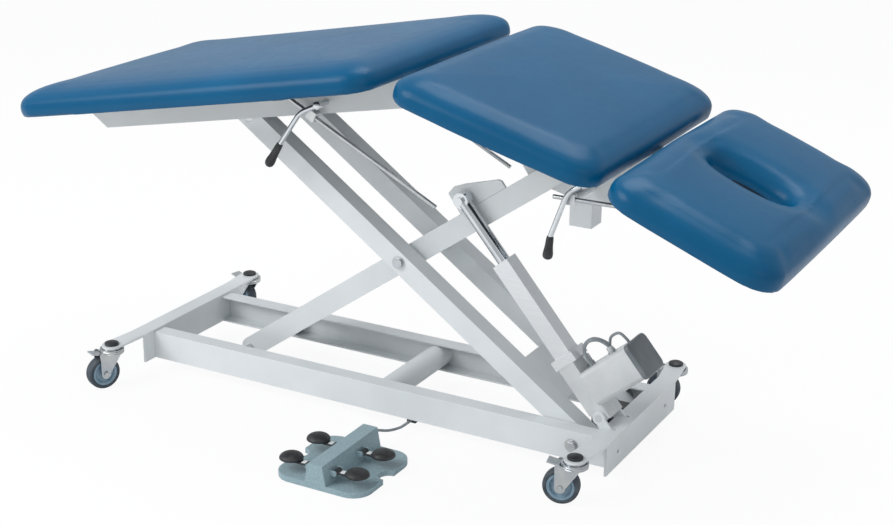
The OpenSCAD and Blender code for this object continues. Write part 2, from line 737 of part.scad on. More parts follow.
// Head cushion: the rings run on into the face opening
function face_ring(grow) = [
  for (i = [0 : ring_n - 1]) let (t = turn / 8 + turn * (i - arc_n / 2) / ring_n)
    [(face_len / 2 + grow) * cos(t), (face_w / 2 + grow) * sin(t)]
];
rim_r = 18;
rim_steps = 4;
module head_pad() {
  a = head_len / 2;
  b = top_w / 2;
  roll = [for (i = [0 : roll_n]) let (e = pad_r * (1 - cos(roll_at(i))))
    [for (p = pad_ring(a - e, b - e, pad_corner - e, pad_draw)) [p[0], p[1], pad_r * (1 + sin(roll_at(i)))]]];
  outer = pad_ring(a - pad_r, b - pad_r, pad_corner - pad_r, pad_draw);
  inner = face_ring(rim_r);
  off = head_len * (face_share - 1 / 2);
  mid = [for (k = [1 : 3]) let (s = k / 4) [for (i = [0 : ring_n - 1]) [
    outer[i][0] * (1 - s) + (inner[i][0] + off) * s, outer[i][1] * (1 - s) + inner[i][1] * s,
    pad_t + pad_crown * sin(half_turn * s) * face_crown_share]]];
  rim = [for (k = [0 : rim_steps]) let (t = half_turn * k / (2 * rim_steps)) [for (p = face_ring(rim_r * (1 - sin(t))))
    [p[0] + off, p[1], pad_t - rim_r * (1 - cos(t))]]];
  foot = [for (p = face_ring(0)) [p[0] + off, p[1], 0]];
  translate([head_start + a, 0, 0]) stack(concat(roll, mid, rim, [foot]), true);
}
face_crown_share = 0.6;
module head_cushion() color("steelblue") on_head() translate([0, 0, pad_low - head_hinge_z]) head_pad();

// Frame under the head board: two hinge plates, a cross bar, side bars that leave the face opening free,
// and two lugs at the end of the head's locking rod
head_plate_len = 56;
head_bar_h = 22;
head_bar_w = 24;
head_side_y = 64;
head_side_t = 6;
head_side_len = 300;
head_arm_z = board_low - head_hinge_z;
head_lug_x = 190;
head_lug_len = 30;
module head_arms() color("gainsboro") on_head() {
  both_sides() {
    sheet(-spine_out - slip - spine_t, -spine_out - slip) difference() {
      union() {
        disc(0, 0, head_ear_r);
        polygon([
          [0, -head_ear_r], [head_plate_len, head_arm_z - head_bar_h], [head_plate_len, head_arm_z],
          [head_start + board_inset, head_arm_z], [0, 0]
        ]);
      }
      disc(0, 0, head_pin_r + fit);
    }
    translate([head_plate_len - head_bar_w, -head_side_y - head_side_t, head_arm_z - head_bar_h])
      cube([head_side_len - head_plate_len + head_bar_w, head_side_t, head_bar_h]);
  }
  translate([head_plate_len - head_bar_w, -head_side_y, head_arm_z - head_bar_h])
    cube([head_bar_w, 2 * head_side_y, head_bar_h]);
  for (s = [0, 1]) translate([head_lug_x - head_lug_len / 2,
    -head_lock_y + (s - 1) * bracket_t + (2 * s - 1) * bracket_gap, head_arm_z - head_lug_len])
      cube([head_lug_len, bracket_t, head_lug_len]);
}
// Lugs beside a locking rod's end
bracket_t = 3;
bracket_gap = lock_d / 2 + slip;

// Long rails, C-shaped like the base rails, with a slanted left end
long_rail_left = 876;
long_rail_right = 25;
lever_x = -214;
lever_z = 4;
clamp_x = -243;
clamp_z = -18;
clamp_pin_r = 6;
module long_rail() {
  difference() {
    channel(-long_rail_left, long_rail_right, long_top - rail_h);
    sheet(-rail_out - over, -rail_in + over) polygon([
      [-long_rail_left - over, long_top], [-long_rail_left, long_top],
      [-long_rail_left + rail_h + over, long_top - rail_h - over], [-long_rail_left - over, long_top - rail_h - over]
    ]);
    across(0, 0, -rail_out - over, -rail_in, ridge_r + fit);
    across(lever_x, lever_z, -rail_out - over, -rail_in, lever_shaft_r + fit);
    across(clamp_x, clamp_z, -rail_out - over, -rail_in, clamp_pin_r + fit);
  }
  raise_stud();
}
module long_rail_near() color("gainsboro") on_long() long_rail();
module long_rail_far() color("gainsboro") on_long() mirror([0, 1, 0]) long_rail();

bar_w = 40;
bar_h = 40;
bar_left = -800;
bar_right = -120;
module long_cross_bars() color("gainsboro") on_long() for (x = [bar_left, bar_right])
  translate([x, -web_in, long_top - rail_h / 2 - bar_h / 2]) difference() {
    cube([bar_w, 2 * web_in, bar_h]);
    translate([leg_wall, -over, leg_wall]) cube([bar_w - 2 * leg_wall, 2 * web_in + 2 * over, bar_h - 2 * leg_wall]);
  }

// Slotted plates that let the long board turn about the end of its cushion, on studs of the rails
slot_ring = 55;
slot_from = 240;
slot_span = 50;
stud_r = 6;
slot_wall = 8;
slot_out = rail_in - slip;
slot_t = 6;
plate_from = 205;
plate_to = 302;
function around_raise(r, t) = [raise_x + r * cos(t), pad_mid + r * sin(t)];
module raise_stud() across(around_raise(slot_ring, slot_from)[0], around_raise(slot_ring, slot_from)[1],
  -web_in - over, -slot_out + slot_t, stud_r);
module raise_hinges() color("dimgray") on_long() both_sides() {
  slotted_plate();
  for (s = [0, 1]) translate([lock_q[0] - bracket_len / 2,
    -lock_y + (s - 1) * bracket_t + (2 * s - 1) * bracket_gap, board_low - bracket_len])
      cube([bracket_len, bracket_t, bracket_len]);
}
bracket_len = 26;
module slotted_plate() sheet(-slot_out, -slot_out + slot_t) difference() {
  intersection() {
    disc(raise_x, pad_mid, slot_ring + stud_r + slot_wall);
    polygon([
      around_raise(0, 0), around_raise(2 * slot_ring, plate_from), around_raise(2 * slot_ring, slot_from),
      around_raise(2 * slot_ring, plate_to)
    ]);
    translate([raise_x - 2 * slot_ring, board_low - 2 * slot_ring]) square([4 * slot_ring, 2 * slot_ring]);
  }
  disc(raise_x, pad_mid, pad_r + over);
  polygon(concat(
    slot_arc(slot_ring + slot_half, slot_from, slot_to), slot_cap(slot_to, 0),
    slot_arc(slot_ring - slot_half, slot_to, slot_from), slot_cap(slot_from, half_turn)
  ));
}
slot_half = stud_r + slip;
slot_to = slot_from + slot_span;
slot_steps = 12;
function slot_arc(r, a, b) = [for (i = [0 : slot_steps]) around_raise(r, a + (b - a) * i / slot_steps)];
function slot_cap(t, first) = [for (i = [1 : slot_steps - 1]) let (a = t + first + half_turn * i / slot_steps)
  around_raise(slot_ring, t) + slot_half * [cos(a), sin(a)]];

// Hand levers, each a bent rod with a grip on a shaft
boss_r = 13;
boss_w = 16;
module grip(p, q, y) {
  d = q - p;
  l = norm(d);
  translate([p[0], y, p[1]]) rotate([0, atan2(d[0], d[1]), 0]) rotate_extrude($fn = round_fn) polygon([
    [0, 0], for (g = grip_shares) [grip_d * g[0], l * g[1]], [0, l]
  ]);
}
grip_shares = [[0.3, 0], [0.36, 0.08], [0.38, 0.4], [0.5, 0.75], [0.5, 0.88], [0.42, 0.96], [0.25, 1]];
lever_y = 184;
long_bend = [-260, -8];
long_grip = [[-324, -71], [-366, -117]];
module long_lever() color("silver") on_long() {
  across(lever_x, lever_z, -lever_y - boss_w / 2, rail_out + shaft_over, lever_shaft_r);
  across(lever_x, lever_z, -lever_y - boss_w / 2, -lever_y + boss_w / 2, boss_r);
  strut([lever_x, lever_z], long_bend, -lever_y, lever_d / 2);
  ball(long_bend, -lever_y, lever_d / 2);
  strut(long_bend, long_grip[0], -lever_y, lever_d / 2);
  color("black") grip(long_grip[0], long_grip[1], -lever_y);
}
head_lever_y = 142;
head_bend = [361, -53];
head_grip = [[354, -153], [362, -201]];
module head_lever() color("silver") on_mid() {
  across(head_lever_x, head_lever_z, -head_lever_y - boss_w / 2, spine_out + shaft_over, lever_shaft_r);
  across(head_lever_x, head_lever_z, -head_lever_y - boss_w / 2, -head_lever_y + boss_w / 2, boss_r);
  strut([head_lever_x, head_lever_z], head_bend, -head_lever_y, lever_d / 2);
  ball(head_bend, -head_lever_y, lever_d / 2);
  strut(head_bend, head_grip[0], -head_lever_y, lever_d / 2);
  color("black") grip(head_grip[0], head_grip[1], -head_lever_y);
}

// Clamps: a block that swivels on a pin and lets its locking rod slide through
lock_y = 168;
block_w = 13;
block_h = 22;
lock_q = [-317, 40];
lock_dir = atan2(lock_q[1] - clamp_z, lock_q[0] - clamp_x);
lock_reach = norm(lock_q - [clamp_x, clamp_z]);
lock_len = 424;
module long_clamps() color("silver") on_long() both_sides() difference() {
  union() {
    across(clamp_x, clamp_z, -lock_y, -web_in + shaft_over, clamp_pin_r);
    translate([clamp_x, -lock_y, clamp_z]) rotate([0, -lock_dir, 0]) cube([block_h, block_w, block_h], center = true);
  }
  translate([clamp_x, -lock_y, clamp_z]) rotate([0, 90 - lock_dir, 0])
    cylinder(h = 4 * block_h, r = lock_d / 2 + fit, center = true, $fn = round_fn);
}
module long_lock_rods() color("silver") on_long() both_sides()
  translate([clamp_x, -lock_y, clamp_z]) rotate([0, 90 - lock_dir, 0])
    translate([0, 0, lock_reach - lock_len]) cylinder(h = lock_len, r = lock_d / 2, $fn = round_fn);

head_q = [680, 21];
head_lock_dir = atan2(head_q[1] - head_clamp_z, head_q[0] - head_clamp_x);
head_lock_reach = norm(head_q - [head_clamp_x, head_clamp_z]);
head_lock_tail = 38;
head_lock_short = 24;
module head_clamp() color("silver") on_mid() difference() {
  union() {
    across(head_clamp_x, head_clamp_z, -head_lock_y, -carrier_end + clamp_pin_len, clamp_pin_r);
    translate([head_clamp_x, -head_lock_y, head_clamp_z]) rotate([0, -head_lock_dir, 0])
      cube([block_h, clamp_t, block_h], center = true);
  }
  translate([head_clamp_x, -head_lock_y, head_clamp_z]) rotate([0, 90 - head_lock_dir, 0])
    cylinder(h = 4 * block_h, r = lock_d / 2 + fit, center = true, $fn = round_fn);
}
module head_lock_rod() color("silver") on_mid() translate([head_clamp_x, -head_lock_y, head_clamp_z])
  rotate([0, 90 - head_lock_dir, 0]) translate([0, 0, -head_lock_tail])
    cylinder(h = head_lock_reach - head_lock_short + head_lock_tail, r = lock_d / 2, $fn = round_fn);

// Actuator, +X up its axis and -Z towards the motor
flange_x = 124;
flange_t = 21;
flange_w = 57;
bore_wall = 3;
module actuator_tube() color("silver") on_ram() difference() {
  union() {
    translate([flange_x, -flange_w / 2, -flange_w / 2]) cube([flange_t, flange_w, flange_w]);
    translate([flange_x + flange_t, -ram_tube / 2, -ram_tube / 2]) cube([ram_tube_len, ram_tube, ram_tube]);
  }
  rotate([0, 90, 0]) cylinder(h = ram_len, r = rod_d / 2 + slip, $fn = round_fn);
}
house_lo = 12;
house_low_z = -20;
house_high_z = 20;
house_w = 62;
motor_x = 20;
cap_t = 7;
motor_corner = 12;
gland_r = 7;
tall_gland = [-36, 26];
low_gland = [-92, 14];
module rounded_box(x0, z0, lx, lz, w, r) translate([0, 0, z0]) linear_extrude(lz)
  for (x = [x0 + r, x0 + lx - r], y = [-w / 2 + r, w / 2 - r]) {
    disc(x, y, r);
    translate([x0, -w / 2 + r]) square([lx, w - 2 * r]);
    translate([x0 + r, -w / 2]) square([lx - 2 * r, w]);
  }
module gear_motor() color("lightgray") on_ram() {
  difference() {
    union() {
      sheet(-house_w / 2, house_w / 2) polygon([
        [house_lo, house_high_z], [flange_x, house_high_z], [flange_x, house_low_z], [-house_lo, house_low_z]
      ]);
      across(0, 0, -ear_gap + slip, ear_gap - slip, ear_r);
    }
    across(0, 0, -ear_gap - over, ear_gap + over, ram_pin_r + fit);
  }
  across(0, 0, -ear_gap - ear_t, ear_gap + ear_t, ram_pin_r);
  rounded_box(motor_x, house_low_z - motor_len, motor_h, motor_len, motor_w, motor_corner);
  color("gray") rounded_box(motor_x - over, house_low_z - motor_len - cap_t, motor_h + 2 * over, cap_t,
    motor_w + 2 * slip, motor_corner);
  for (g = [tall_gland, low_gland]) translate([motor_x + motor_h, 0, g[0]]) rotate([0, 90, 0])
    cylinder(h = g[1], r = gland_r, $fn = round_fn);
}

// Chrome rod with its eye and the bolt that faces the hook plate
eye_r = 17;
eye_w = 24;
rod_back = 280;
module piston_rod() color("silver") on_ram() {
  translate([ram_len - rod_back, 0, 0]) rotate([0, 90, 0]) cylinder(h = rod_back, r = rod_d / 2, $fn = round_fn);
  across(ram_len, 0, -eye_w / 2, eye_w / 2, eye_r);
  across(ram_len, 0, -eye_w / 2 - bolt_head_h, ram_y - arm_out - slip, ram_pin_r);
}

// Two leads, each looping up from its gland and back to the motor's shell
lead_d = 6;
lead_drop = 38;
module lead_loop(g) translate([motor_x + motor_h + g[1], 0, g[0] - lead_drop / 2]) rotate([90, 0, 0]) {
  rotate([0, 0, -90]) rotate_extrude(angle = half_turn, $fn = round_fn) disc(lead_drop / 2, 0, lead_d / 2);
  translate([-g[1], -lead_drop / 2, 0]) rotate([0, 90, 0]) cylinder(h = g[1], r = lead_d / 2, $fn = round_fn);
}
module motor_cables() color("lightgray") on_ram() for (g = [tall_gland, low_gland]) lead_loop(g);

module caster_fork_nl() caster_fork(0);
module caster_fork_nr() caster_fork(1);
module caster_fork_fl() caster_fork(2);
module caster_fork_fr() caster_fork(3);
module caster_wheel_nl() caster_wheel(0);
module caster_wheel_nr() caster_wheel(1);
module caster_wheel_fl() caster_wheel(2);
module caster_wheel_fr() caster_wheel(3);
module caster_brake_nl() caster_brake(0);
module caster_brake_nr() caster_brake(1);
module caster_brake_fl() caster_brake(2);
module caster_brake_fr() caster_brake(3);

rail_near();
rail_far();
end_angle_left();
end_angle_right();
base_cross_tube();
actuator_cross_member();
caster_stems();
control_box();
caster_fork_nl();
caster_fork_nr();
caster_fork_fl();
caster_fork_fr();
caster_wheel_nl();
caster_wheel_nr();
caster_wheel_fl();
caster_wheel_fr();
caster_brake_nl();
caster_brake_nr();
caster_brake_fl();
caster_brake_fr();
foot_switch_body();
foot_switch_cord();
cord_clip();
foot_button_1();
foot_button_2();
foot_button_3();
foot_button_4();
outer_leg_near();
outer_leg_far();
leg_cross_plate();
leg_top_axle();
pivot_bolts();
inner_arms();
rod_hook();
track_rollers();
top_pivot_shaft();
middle_side_plates();
middle_cross_tubes();
middle_board();
middle_cushion();
long_rail_near();
long_rail_far();
long_cross_bars();
ridge_shaft();
raise_hinges();
long_board();
long_cushion();
head_board();
head_cushion();
head_arms();
long_lever();
head_lever();
long_clamps();
long_lock_rods();
head_clamp();
head_lock_rod();
actuator_tube();
gear_motor();
piston_rod();
motor_cables();
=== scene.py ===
import json
import math
import bmesh
import bpy
import numpy as np
from mathutils import Matrix


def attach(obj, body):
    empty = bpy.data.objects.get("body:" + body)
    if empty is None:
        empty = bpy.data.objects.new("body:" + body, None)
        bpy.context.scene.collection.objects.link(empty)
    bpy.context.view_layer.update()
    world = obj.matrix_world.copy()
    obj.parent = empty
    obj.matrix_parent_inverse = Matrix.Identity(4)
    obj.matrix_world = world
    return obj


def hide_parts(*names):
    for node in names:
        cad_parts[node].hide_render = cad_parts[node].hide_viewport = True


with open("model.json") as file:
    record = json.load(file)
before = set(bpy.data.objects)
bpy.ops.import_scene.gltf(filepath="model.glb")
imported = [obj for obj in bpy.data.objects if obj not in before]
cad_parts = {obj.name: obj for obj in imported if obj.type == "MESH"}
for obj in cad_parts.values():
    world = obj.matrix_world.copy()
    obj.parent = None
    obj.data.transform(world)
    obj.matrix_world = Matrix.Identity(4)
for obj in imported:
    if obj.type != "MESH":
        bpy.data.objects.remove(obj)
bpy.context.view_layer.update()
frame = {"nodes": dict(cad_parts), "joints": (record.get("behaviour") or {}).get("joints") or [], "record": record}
record = frame["record"]
nodeBody = {node: body for body, nodes in record["behaviour"]["bodies"].items() for node in nodes}
nodeSlot = {part["node"]: part["material_slot"] for part in record["subparts"]}
jointPlace = {joint["name"]: np.array(joint["pos_m"], float) for joint in frame["joints"]}
jointAxis = {joint["name"]: np.array(joint["axis"], float) for joint in frame["joints"]}
mm = 0.001


# Camera: place, angles and lens worked out from the straight edges of the photograph
camera = {
    "place": (1.6233, -2.8661, 1.5269),
    "azimuth": 28.40,
    "elevation": 19.59,
    "roll": 0.77,
    "focalPixels": 1646.3,
    "imageWidth": 893,
    "sensor": 36.0,
}


def setCamera(part):
    # right, up and back are the camera's axes: look along azimuth and elevation, then turn by roll
    az, el, roll = (math.radians(part[key]) for key in ("azimuth", "elevation", "roll"))
    look = np.array([-math.sin(az) * math.cos(el), math.cos(az) * math.cos(el), -math.sin(el)])
    level = np.array([math.cos(az), math.sin(az), 0.0])
    above = np.cross(level, look)
    right = level * math.cos(roll) + above * math.sin(roll)
    up = above * math.cos(roll) - level * math.sin(roll)
    data = bpy.data.cameras.new("photoCamera")
    data.sensor_width = part["sensor"]
    data.lens = part["focalPixels"] * part["sensor"] / part["imageWidth"]
    data.clip_end = 60
    eye = bpy.data.objects.new("photoCamera", data)
    bpy.context.scene.collection.objects.link(eye)
    pose = np.eye(4)
    pose[:3, 0], pose[:3, 1], pose[:3, 2], pose[:3, 3] = right, up, -look, part["place"]
    eye.matrix_world = Matrix(pose.tolist())
    bpy.context.scene.camera = eye


setCamera(camera)
print("camera set")


# Finishes: the colour runs from dark to light over a span of the cloud pattern, and the roughness follows
# the wear pattern. A pattern is its kind, scale and detail, then a stretch along x, y and z, and a turn in
# degrees about the table's width. Bumps are patterns, each with a depth in metres and a strength
looks = {
    # light gray powder coat: orange peel, slight cloudiness, a little dust
    "powderPaint": {
        "colour": (0.72, 0.75, 0.76), "dark": (0.69, 0.72, 0.73), "light": (0.75, 0.78, 0.79),
        "span": (0.3, 0.7), "cloud": ("noise", 9, 4), "shine": 0.36, "wear": ("noise", 60, 3),
        "rough": (0.28, 0.42), "bumps": [(("noise", 700, 2), 0.00012, 0.5)],
        "sockets": {"Coat Weight": 0.15, "Coat Roughness": 0.25},
    },
    # bright zinc: drawn streaks, faint warm and cool clouds
    "zincPlate": {
        "colour": (0.55, 0.58, 0.60), "dark": (0.50, 0.53, 0.56), "light": (0.62, 0.63, 0.62),
        "span": (0.35, 0.65), "cloud": ("noise", 30, 3), "shine": 0.3,
        "wear": ("noise", 160, 3, (1, 18, 1)), "rough": (0.22, 0.42),
        "bumps": [(("noise", 160, 3, (1, 18, 1)), 0.00005, 0.4)], "metal": 1.0,
    },
    # polished rods with fine hair lines in the shine alone
    "chromeSteel": {
        "colour": (0.62, 0.65, 0.67), "dark": (0.58, 0.61, 0.63), "light": (0.68, 0.70, 0.72),
        "span": (0.3, 0.7), "cloud": ("noise", 25, 2), "shine": 0.12, "wear": ("noise", 900, 2),
        "rough": (0.08, 0.2), "bumps": [], "metal": 1.0,
    },
    # drawn tube: long fine streaks along the actuator
    "satinAluminium": {
        "colour": (0.77, 0.79, 0.80), "dark": (0.74, 0.76, 0.77), "light": (0.80, 0.81, 0.82),
        "span": (0.3, 0.7), "cloud": ("noise", 260, 3, (0.05, 1, 1), -130), "shine": 0.38,
        "wear": ("noise", 260, 3, (0.05, 1, 1), -130), "rough": (0.34, 0.46),
        "bumps": [(("noise", 260, 3, (0.05, 1, 1), -130), 0.00001, 0.3)], "metal": 0.85,
    },
    # moulded plastic with a fine eroded texture
    "mattBlack": {
        "colour": (0.018, 0.02, 0.022), "dark": (0.014, 0.016, 0.018), "light": (0.03, 0.032, 0.036),
        "span": (0.3, 0.7), "cloud": ("noise", 40, 3), "shine": 0.42, "wear": ("noise", 200, 2),
        "rough": (0.34, 0.5), "bumps": [(("noise", 1400, 2), 0.00008, 0.5)],
    },
    # soft domes, slightly dusty, with a fine pebble
    "blackRubber": {
        "colour": (0.02, 0.02, 0.022), "dark": (0.014, 0.015, 0.017), "light": (0.045, 0.047, 0.05),
        "span": (0.4, 0.75), "cloud": ("noise", 70, 4), "shine": 0.55, "wear": ("noise", 90, 3),
        "rough": (0.42, 0.6), "bumps": [(("F1", 900, 0), 0.0001, 0.4)],
    },
    # dark tread, grayer where it has rolled
    "tyreRubber": {
        "colour": (0.045, 0.065, 0.085), "dark": (0.035, 0.05, 0.066), "light": (0.075, 0.09, 0.105),
        "span": (0.35, 0.7), "cloud": ("noise", 45, 4), "shine": 0.6, "wear": ("noise", 110, 3),
        "rough": (0.5, 0.72), "bumps": [(("noise", 800, 3), 0.00012, 0.5)],
    },
    # blue-gray moulded wheel hub
    "hubPlastic": {
        "colour": (0.20, 0.30, 0.38), "dark": (0.16, 0.26, 0.34), "light": (0.24, 0.34, 0.42),
        "span": (0.3, 0.7), "cloud": ("noise", 50, 3), "shine": 0.4, "wear": ("noise", 150, 2),
        "rough": (0.32, 0.48), "bumps": [(("noise", 1200, 2), 0.00006, 0.4)],
    },
    # blue-gray hammered enamel of the foot switch with painted shade in the dimples: the colour is darker towards
    # each dimple's middle and lighter between them
    "hammerPaint": {
        "colour": (0.27, 0.38, 0.42), "dark": (0.23, 0.34, 0.38), "light": (0.31, 0.42, 0.46),
        "span": (0.1, 0.6), "cloud": ("SMOOTH_F1", 330, 0), "shine": 0.38, "wear": ("noise", 60, 3),
        "rough": (0.3, 0.45), "bumps": [(("SMOOTH_F1", 330, 0), 0.0003, 0.45)],
    },
    # smooth jacket of the cord and the leads
    "greyCable": {
        "colour": (0.25, 0.28, 0.30), "dark": (0.21, 0.24, 0.26), "light": (0.30, 0.33, 0.35),
        "span": (0.3, 0.7), "cloud": ("noise", 80, 3), "shine": 0.45, "wear": ("noise", 200, 2),
        "rough": (0.36, 0.52), "bumps": [(("noise", 500, 2), 0.00008, 0.4)],
    },
    # the boards' undersides and edges: a woven cover, made near-black as painted shade so the board's edge reads
    # as the shade under the cushion's lower edge
    "coverAndPaintedShade": {
        "colour": (0.012, 0.022, 0.034), "dark": (0.008, 0.016, 0.027), "light": (0.018, 0.03, 0.044),
        "span": (0.3, 0.7), "cloud": ("noise", 24, 3), "shine": 0.7, "wear": ("noise", 420, 2, (1, 14, 1)),
        "rough": (0.6, 0.82), "bumps": [(("noise", 420, 2, (1, 14, 1)), 0.00015, 0.5)],
    },
    # light gray enamel over the motor's rough casting
    "motorPaint": {
        "colour": (0.60, 0.62, 0.63), "dark": (0.54, 0.56, 0.57), "light": (0.66, 0.68, 0.68),
        "span": (0.3, 0.7), "cloud": ("noise", 14, 3), "shine": 0.4, "wear": ("noise", 90, 3),
        "rough": (0.28, 0.42), "bumps": [(("noise", 260, 4), 0.0004, 0.5)],
    },
    # dark gray moulded end cap
    "capPlastic": {
        "colour": (0.15, 0.17, 0.185), "dark": (0.13, 0.15, 0.165), "light": (0.18, 0.20, 0.215),
        "span": (0.3, 0.7), "cloud": ("noise", 30, 3), "shine": 0.36, "wear": ("noise", 300, 2),
        "rough": (0.3, 0.44), "bumps": [(("noise", 1300, 2), 0.00008, 0.4)],
    },
    # deep blue coated cloth: soft creases under a pebble grain, slight colour drift
    "coatedCloth": {
        "colour": (0.0005, 0.085, 0.195), "dark": (0.0003, 0.077, 0.18), "light": (0.0006, 0.091, 0.208),
        "span": (0.3, 0.7), "cloud": ("noise", 5, 3), "shine": 0.34, "wear": ("noise", 45, 3),
        "rough": (0.28, 0.37),
        "bumps": [(("noise", 26, 3), 0.0012, 0.22), (("SMOOTH_F1", 750, 0), 0.00014, 0.4)],
        "sockets": {"Specular IOR Level": 0.19},
    },
}


def pattern(tree, kind, scale, detail, stretch=(1, 1, 1), turn=0):
    # noise, or distances to the middles of scattered cells, in the piece's own coordinates
    place = tree.nodes.new("ShaderNodeTexCoord")
    mapping = tree.nodes.new("ShaderNodeMapping")
    mapping.inputs["Scale"].default_value = stretch
    mapping.inputs["Rotation"].default_value = (0, math.radians(turn), 0)
    tree.links.new(place.outputs["Object"], mapping.inputs["Vector"])
    node = tree.nodes.new("ShaderNodeTexNoise" if kind == "noise" else "ShaderNodeTexVoronoi")
    node.inputs["Scale"].default_value = scale
    tree.links.new(mapping.outputs["Vector"], node.inputs["Vector"])
    if kind == "noise":
        node.inputs["Detail"].default_value = detail
        return node.outputs["Fac"]
    node.feature = kind
    return node.outputs["Distance"]


def makeFinish(name, look):
    # one shader whose colour, roughness and bumps follow the look's patterns
    material = bpy.data.materials.new(name)
    material.use_nodes = True
    tree = material.node_tree
    shader = tree.nodes["Principled BSDF"]
    shader.inputs["Base Color"].default_value = (*look["colour"], 1)
    shader.inputs["Roughness"].default_value = look["shine"]
    shader.inputs["Metallic"].default_value = look.get("metal", 0.0)
    ramp = tree.nodes.new("ShaderNodeValToRGB")
    ends = zip(ramp.color_ramp.elements, look["span"], (look["dark"], look["light"]))
    for element, position, colour in ends:
        element.position = position
        element.color = (*colour, 1)
    tree.links.new(pattern(tree, *look["cloud"]), ramp.inputs["Fac"])
    tree.links.new(ramp.outputs["Color"], shader.inputs["Base Color"])
    rough = tree.nodes.new("ShaderNodeMapRange")
    rough.inputs["To Min"].default_value, rough.inputs["To Max"].default_value = look["rough"]
    tree.links.new(pattern(tree, *look["wear"]), rough.inputs["Value"])
    tree.links.new(rough.outputs["Result"], shader.inputs["Roughness"])
    under = None
    for shape, depth, strength in look["bumps"]:    # each layer of bumps lies on the one before it
        bump = tree.nodes.new("ShaderNodeBump")
        bump.inputs["Distance"].default_value = depth
        bump.inputs["Strength"].default_value = strength
        tree.links.new(pattern(tree, *shape), bump.inputs["Height"])
        if under:
            tree.links.new(under, bump.inputs["Normal"])
        under = bump.outputs["Normal"]
        tree.links.new(under, shader.inputs["Normal"])
    for socket, value in look.get("sockets", {}).items():
        shader.inputs[socket].default_value = value
    return material


made = {name: makeFinish(name, look) for name, look in looks.items()}
finish = {
    "frame_paint": made["powderPaint"],
    "zinc": made["zincPlate"],
    "chrome": made["chromeSteel"],
    "aluminium": made["satinAluminium"],
    "black_plastic": made["mattBlack"],
    "dark_metal": made["mattBlack"],
    "button_rubber": made["blackRubber"],
    "tyre": made["tyreRubber"],
    "switch_paint": made["hammerPaint"],
    "cable_gray": made["greyCable"],
    # the boards' near-black cover also stands for painted shade under the cushions' edges
    "board_wood": made["coverAndPaintedShade"],
    "motor_shell": made["motorPaint"],
    "upholstery": made["coatedCloth"],
}
print("materials made:", len(made))


# Mesh helpers: doubles closer than the first value are merged, and edges over the second are sharp
joining = {"merge": 1e-6, "sharp": 35, "poleRadius": 1e-5}


def closedGrid(points, closeRows=False):
    # points[i, j] is ring i, point j: quads join neighbours round each ring, and from ring to ring
    rows, columns = points.shape[:2]
    i = np.arange(rows if closeRows else rows - 1)[:, None]
    j = np.arange(columns)[None, :]
    nextRow = (i + 1) % rows
    nextColumn = (j + 1) % columns
    quads = np.stack([i * columns + j, i * columns + nextColumn, nextRow * columns + nextColumn,
                      nextRow * columns + j], -1).reshape(-1, 4).tolist()
    if not closeRows:
        quads.append(list(range(columns - 1, -1, -1)))
        quads.append(list(range((rows - 1) * columns, rows * columns)))
    return points.reshape(-1, 3), quads


def power(x, exponent):
    # the power of the size alone, with the sign kept
    return np.sign(x) * np.abs(x) ** exponent


def joined(*shells):
    # several shells as one: each later shell's indices move up by the points before it
    points = []
    faces = []
    for shellPoints, shellFaces in shells:
        start = sum(len(p) for p in points)
        points.append(shellPoints)
        faces += [[k + start for k in face] for face in shellFaces]
    return np.concatenate(points), faces


def makePiece(name, shell, material, body, nodes=()):
    # a mesh with its seams merged and its faces turned outwards, on its body
    points, faces = shell
    mesh = bpy.data.meshes.new(name)
    mesh.from_pydata(np.asarray(points, float).tolist(), [], faces)
    work = bmesh.new()
    work.from_mesh(mesh)
    bmesh.ops.remove_doubles(work, verts=work.verts, dist=joining["merge"])
    bmesh.ops.recalc_face_normals(work, faces=work.faces)
    work.to_mesh(mesh)
    work.free()
    mesh.shade_smooth()
    mesh.set_sharp_from_angle(angle=math.radians(joining["sharp"]))
    mesh.materials.append(material)
    piece = bpy.data.objects.new(name, mesh)
    bpy.context.scene.collection.objects.link(piece)
    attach(piece, body)
    if nodes:
        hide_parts(*nodes)
    return piece


def squareTo(axis):
    # two unit vectors square to the axis and to each other
    axis = np.asarray(axis, float) / np.linalg.norm(axis)
    aside = np.array([0, 0, 1.0]) if abs(axis[2]) < 0.9 else np.array([1.0, 0, 0])
    first = np.cross(axis, aside)
    first /= np.linalg.norm(first)
    return axis, first, np.cross(axis, first)


def lathe(centre, axis, profile, sides=48):
    # profile rows are radius and height: each turns round the axis through the centre
    axis, first, second = squareTo(axis)
    profile = np.asarray(profile, float)
    angle = np.linspace(0, 2 * np.pi, sides, endpoint=False)
    ring = first * np.cos(angle)[:, None] + second * np.sin(angle)[:, None]
    radius = np.maximum(profile[:, 0], joining["poleRadius"])
    points = centre + axis * profile[:, 1][:, None, None] + ring[None] * radius[:, None, None]
    return closedGrid(points)


def tube(path, radius, sides=20, facing=(0, 1, 0)):
    # rings square to the path's direction; facing is a vector that the path never runs along
    path = np.asarray(path, float)
    along = np.gradient(path, axis=0)
    along /= np.linalg.norm(along, axis=1)[:, None]
    side = np.cross(np.asarray(facing, float), along)
    side /= np.linalg.norm(side, axis=1)[:, None]
    above = np.cross(along, side)
    angle = np.linspace(0, 2 * np.pi, sides, endpoint=False)
    radius = np.broadcast_to(radius, (len(path),))[:, None, None]
    points = path[:, None] + radius * (side[:, None] * np.cos(angle)[None, :, None]
                                       + above[:, None] * np.sin(angle)[None, :, None])
    return closedGrid(points)


def roundedPath(corners, bend, steps=10):
    # each inner corner becomes a quadratic curve that starts and ends one bend length from it
    corners = [np.asarray(c, float) for c in corners]
    points = [corners[0]]
    t = np.linspace(0, 1, steps)[:, None]
    for before, corner, after in zip(corners, corners[1:], corners[2:]):
        start = corner + (before - corner) * bend / np.linalg.norm(before - corner)
        end = corner + (after - corner) * bend / np.linalg.norm(after - corner)
        points += list((1 - t) ** 2 * start + 2 * t * (1 - t) * corner + t ** 2 * end)
    return np.array(points + [corners[-1]])


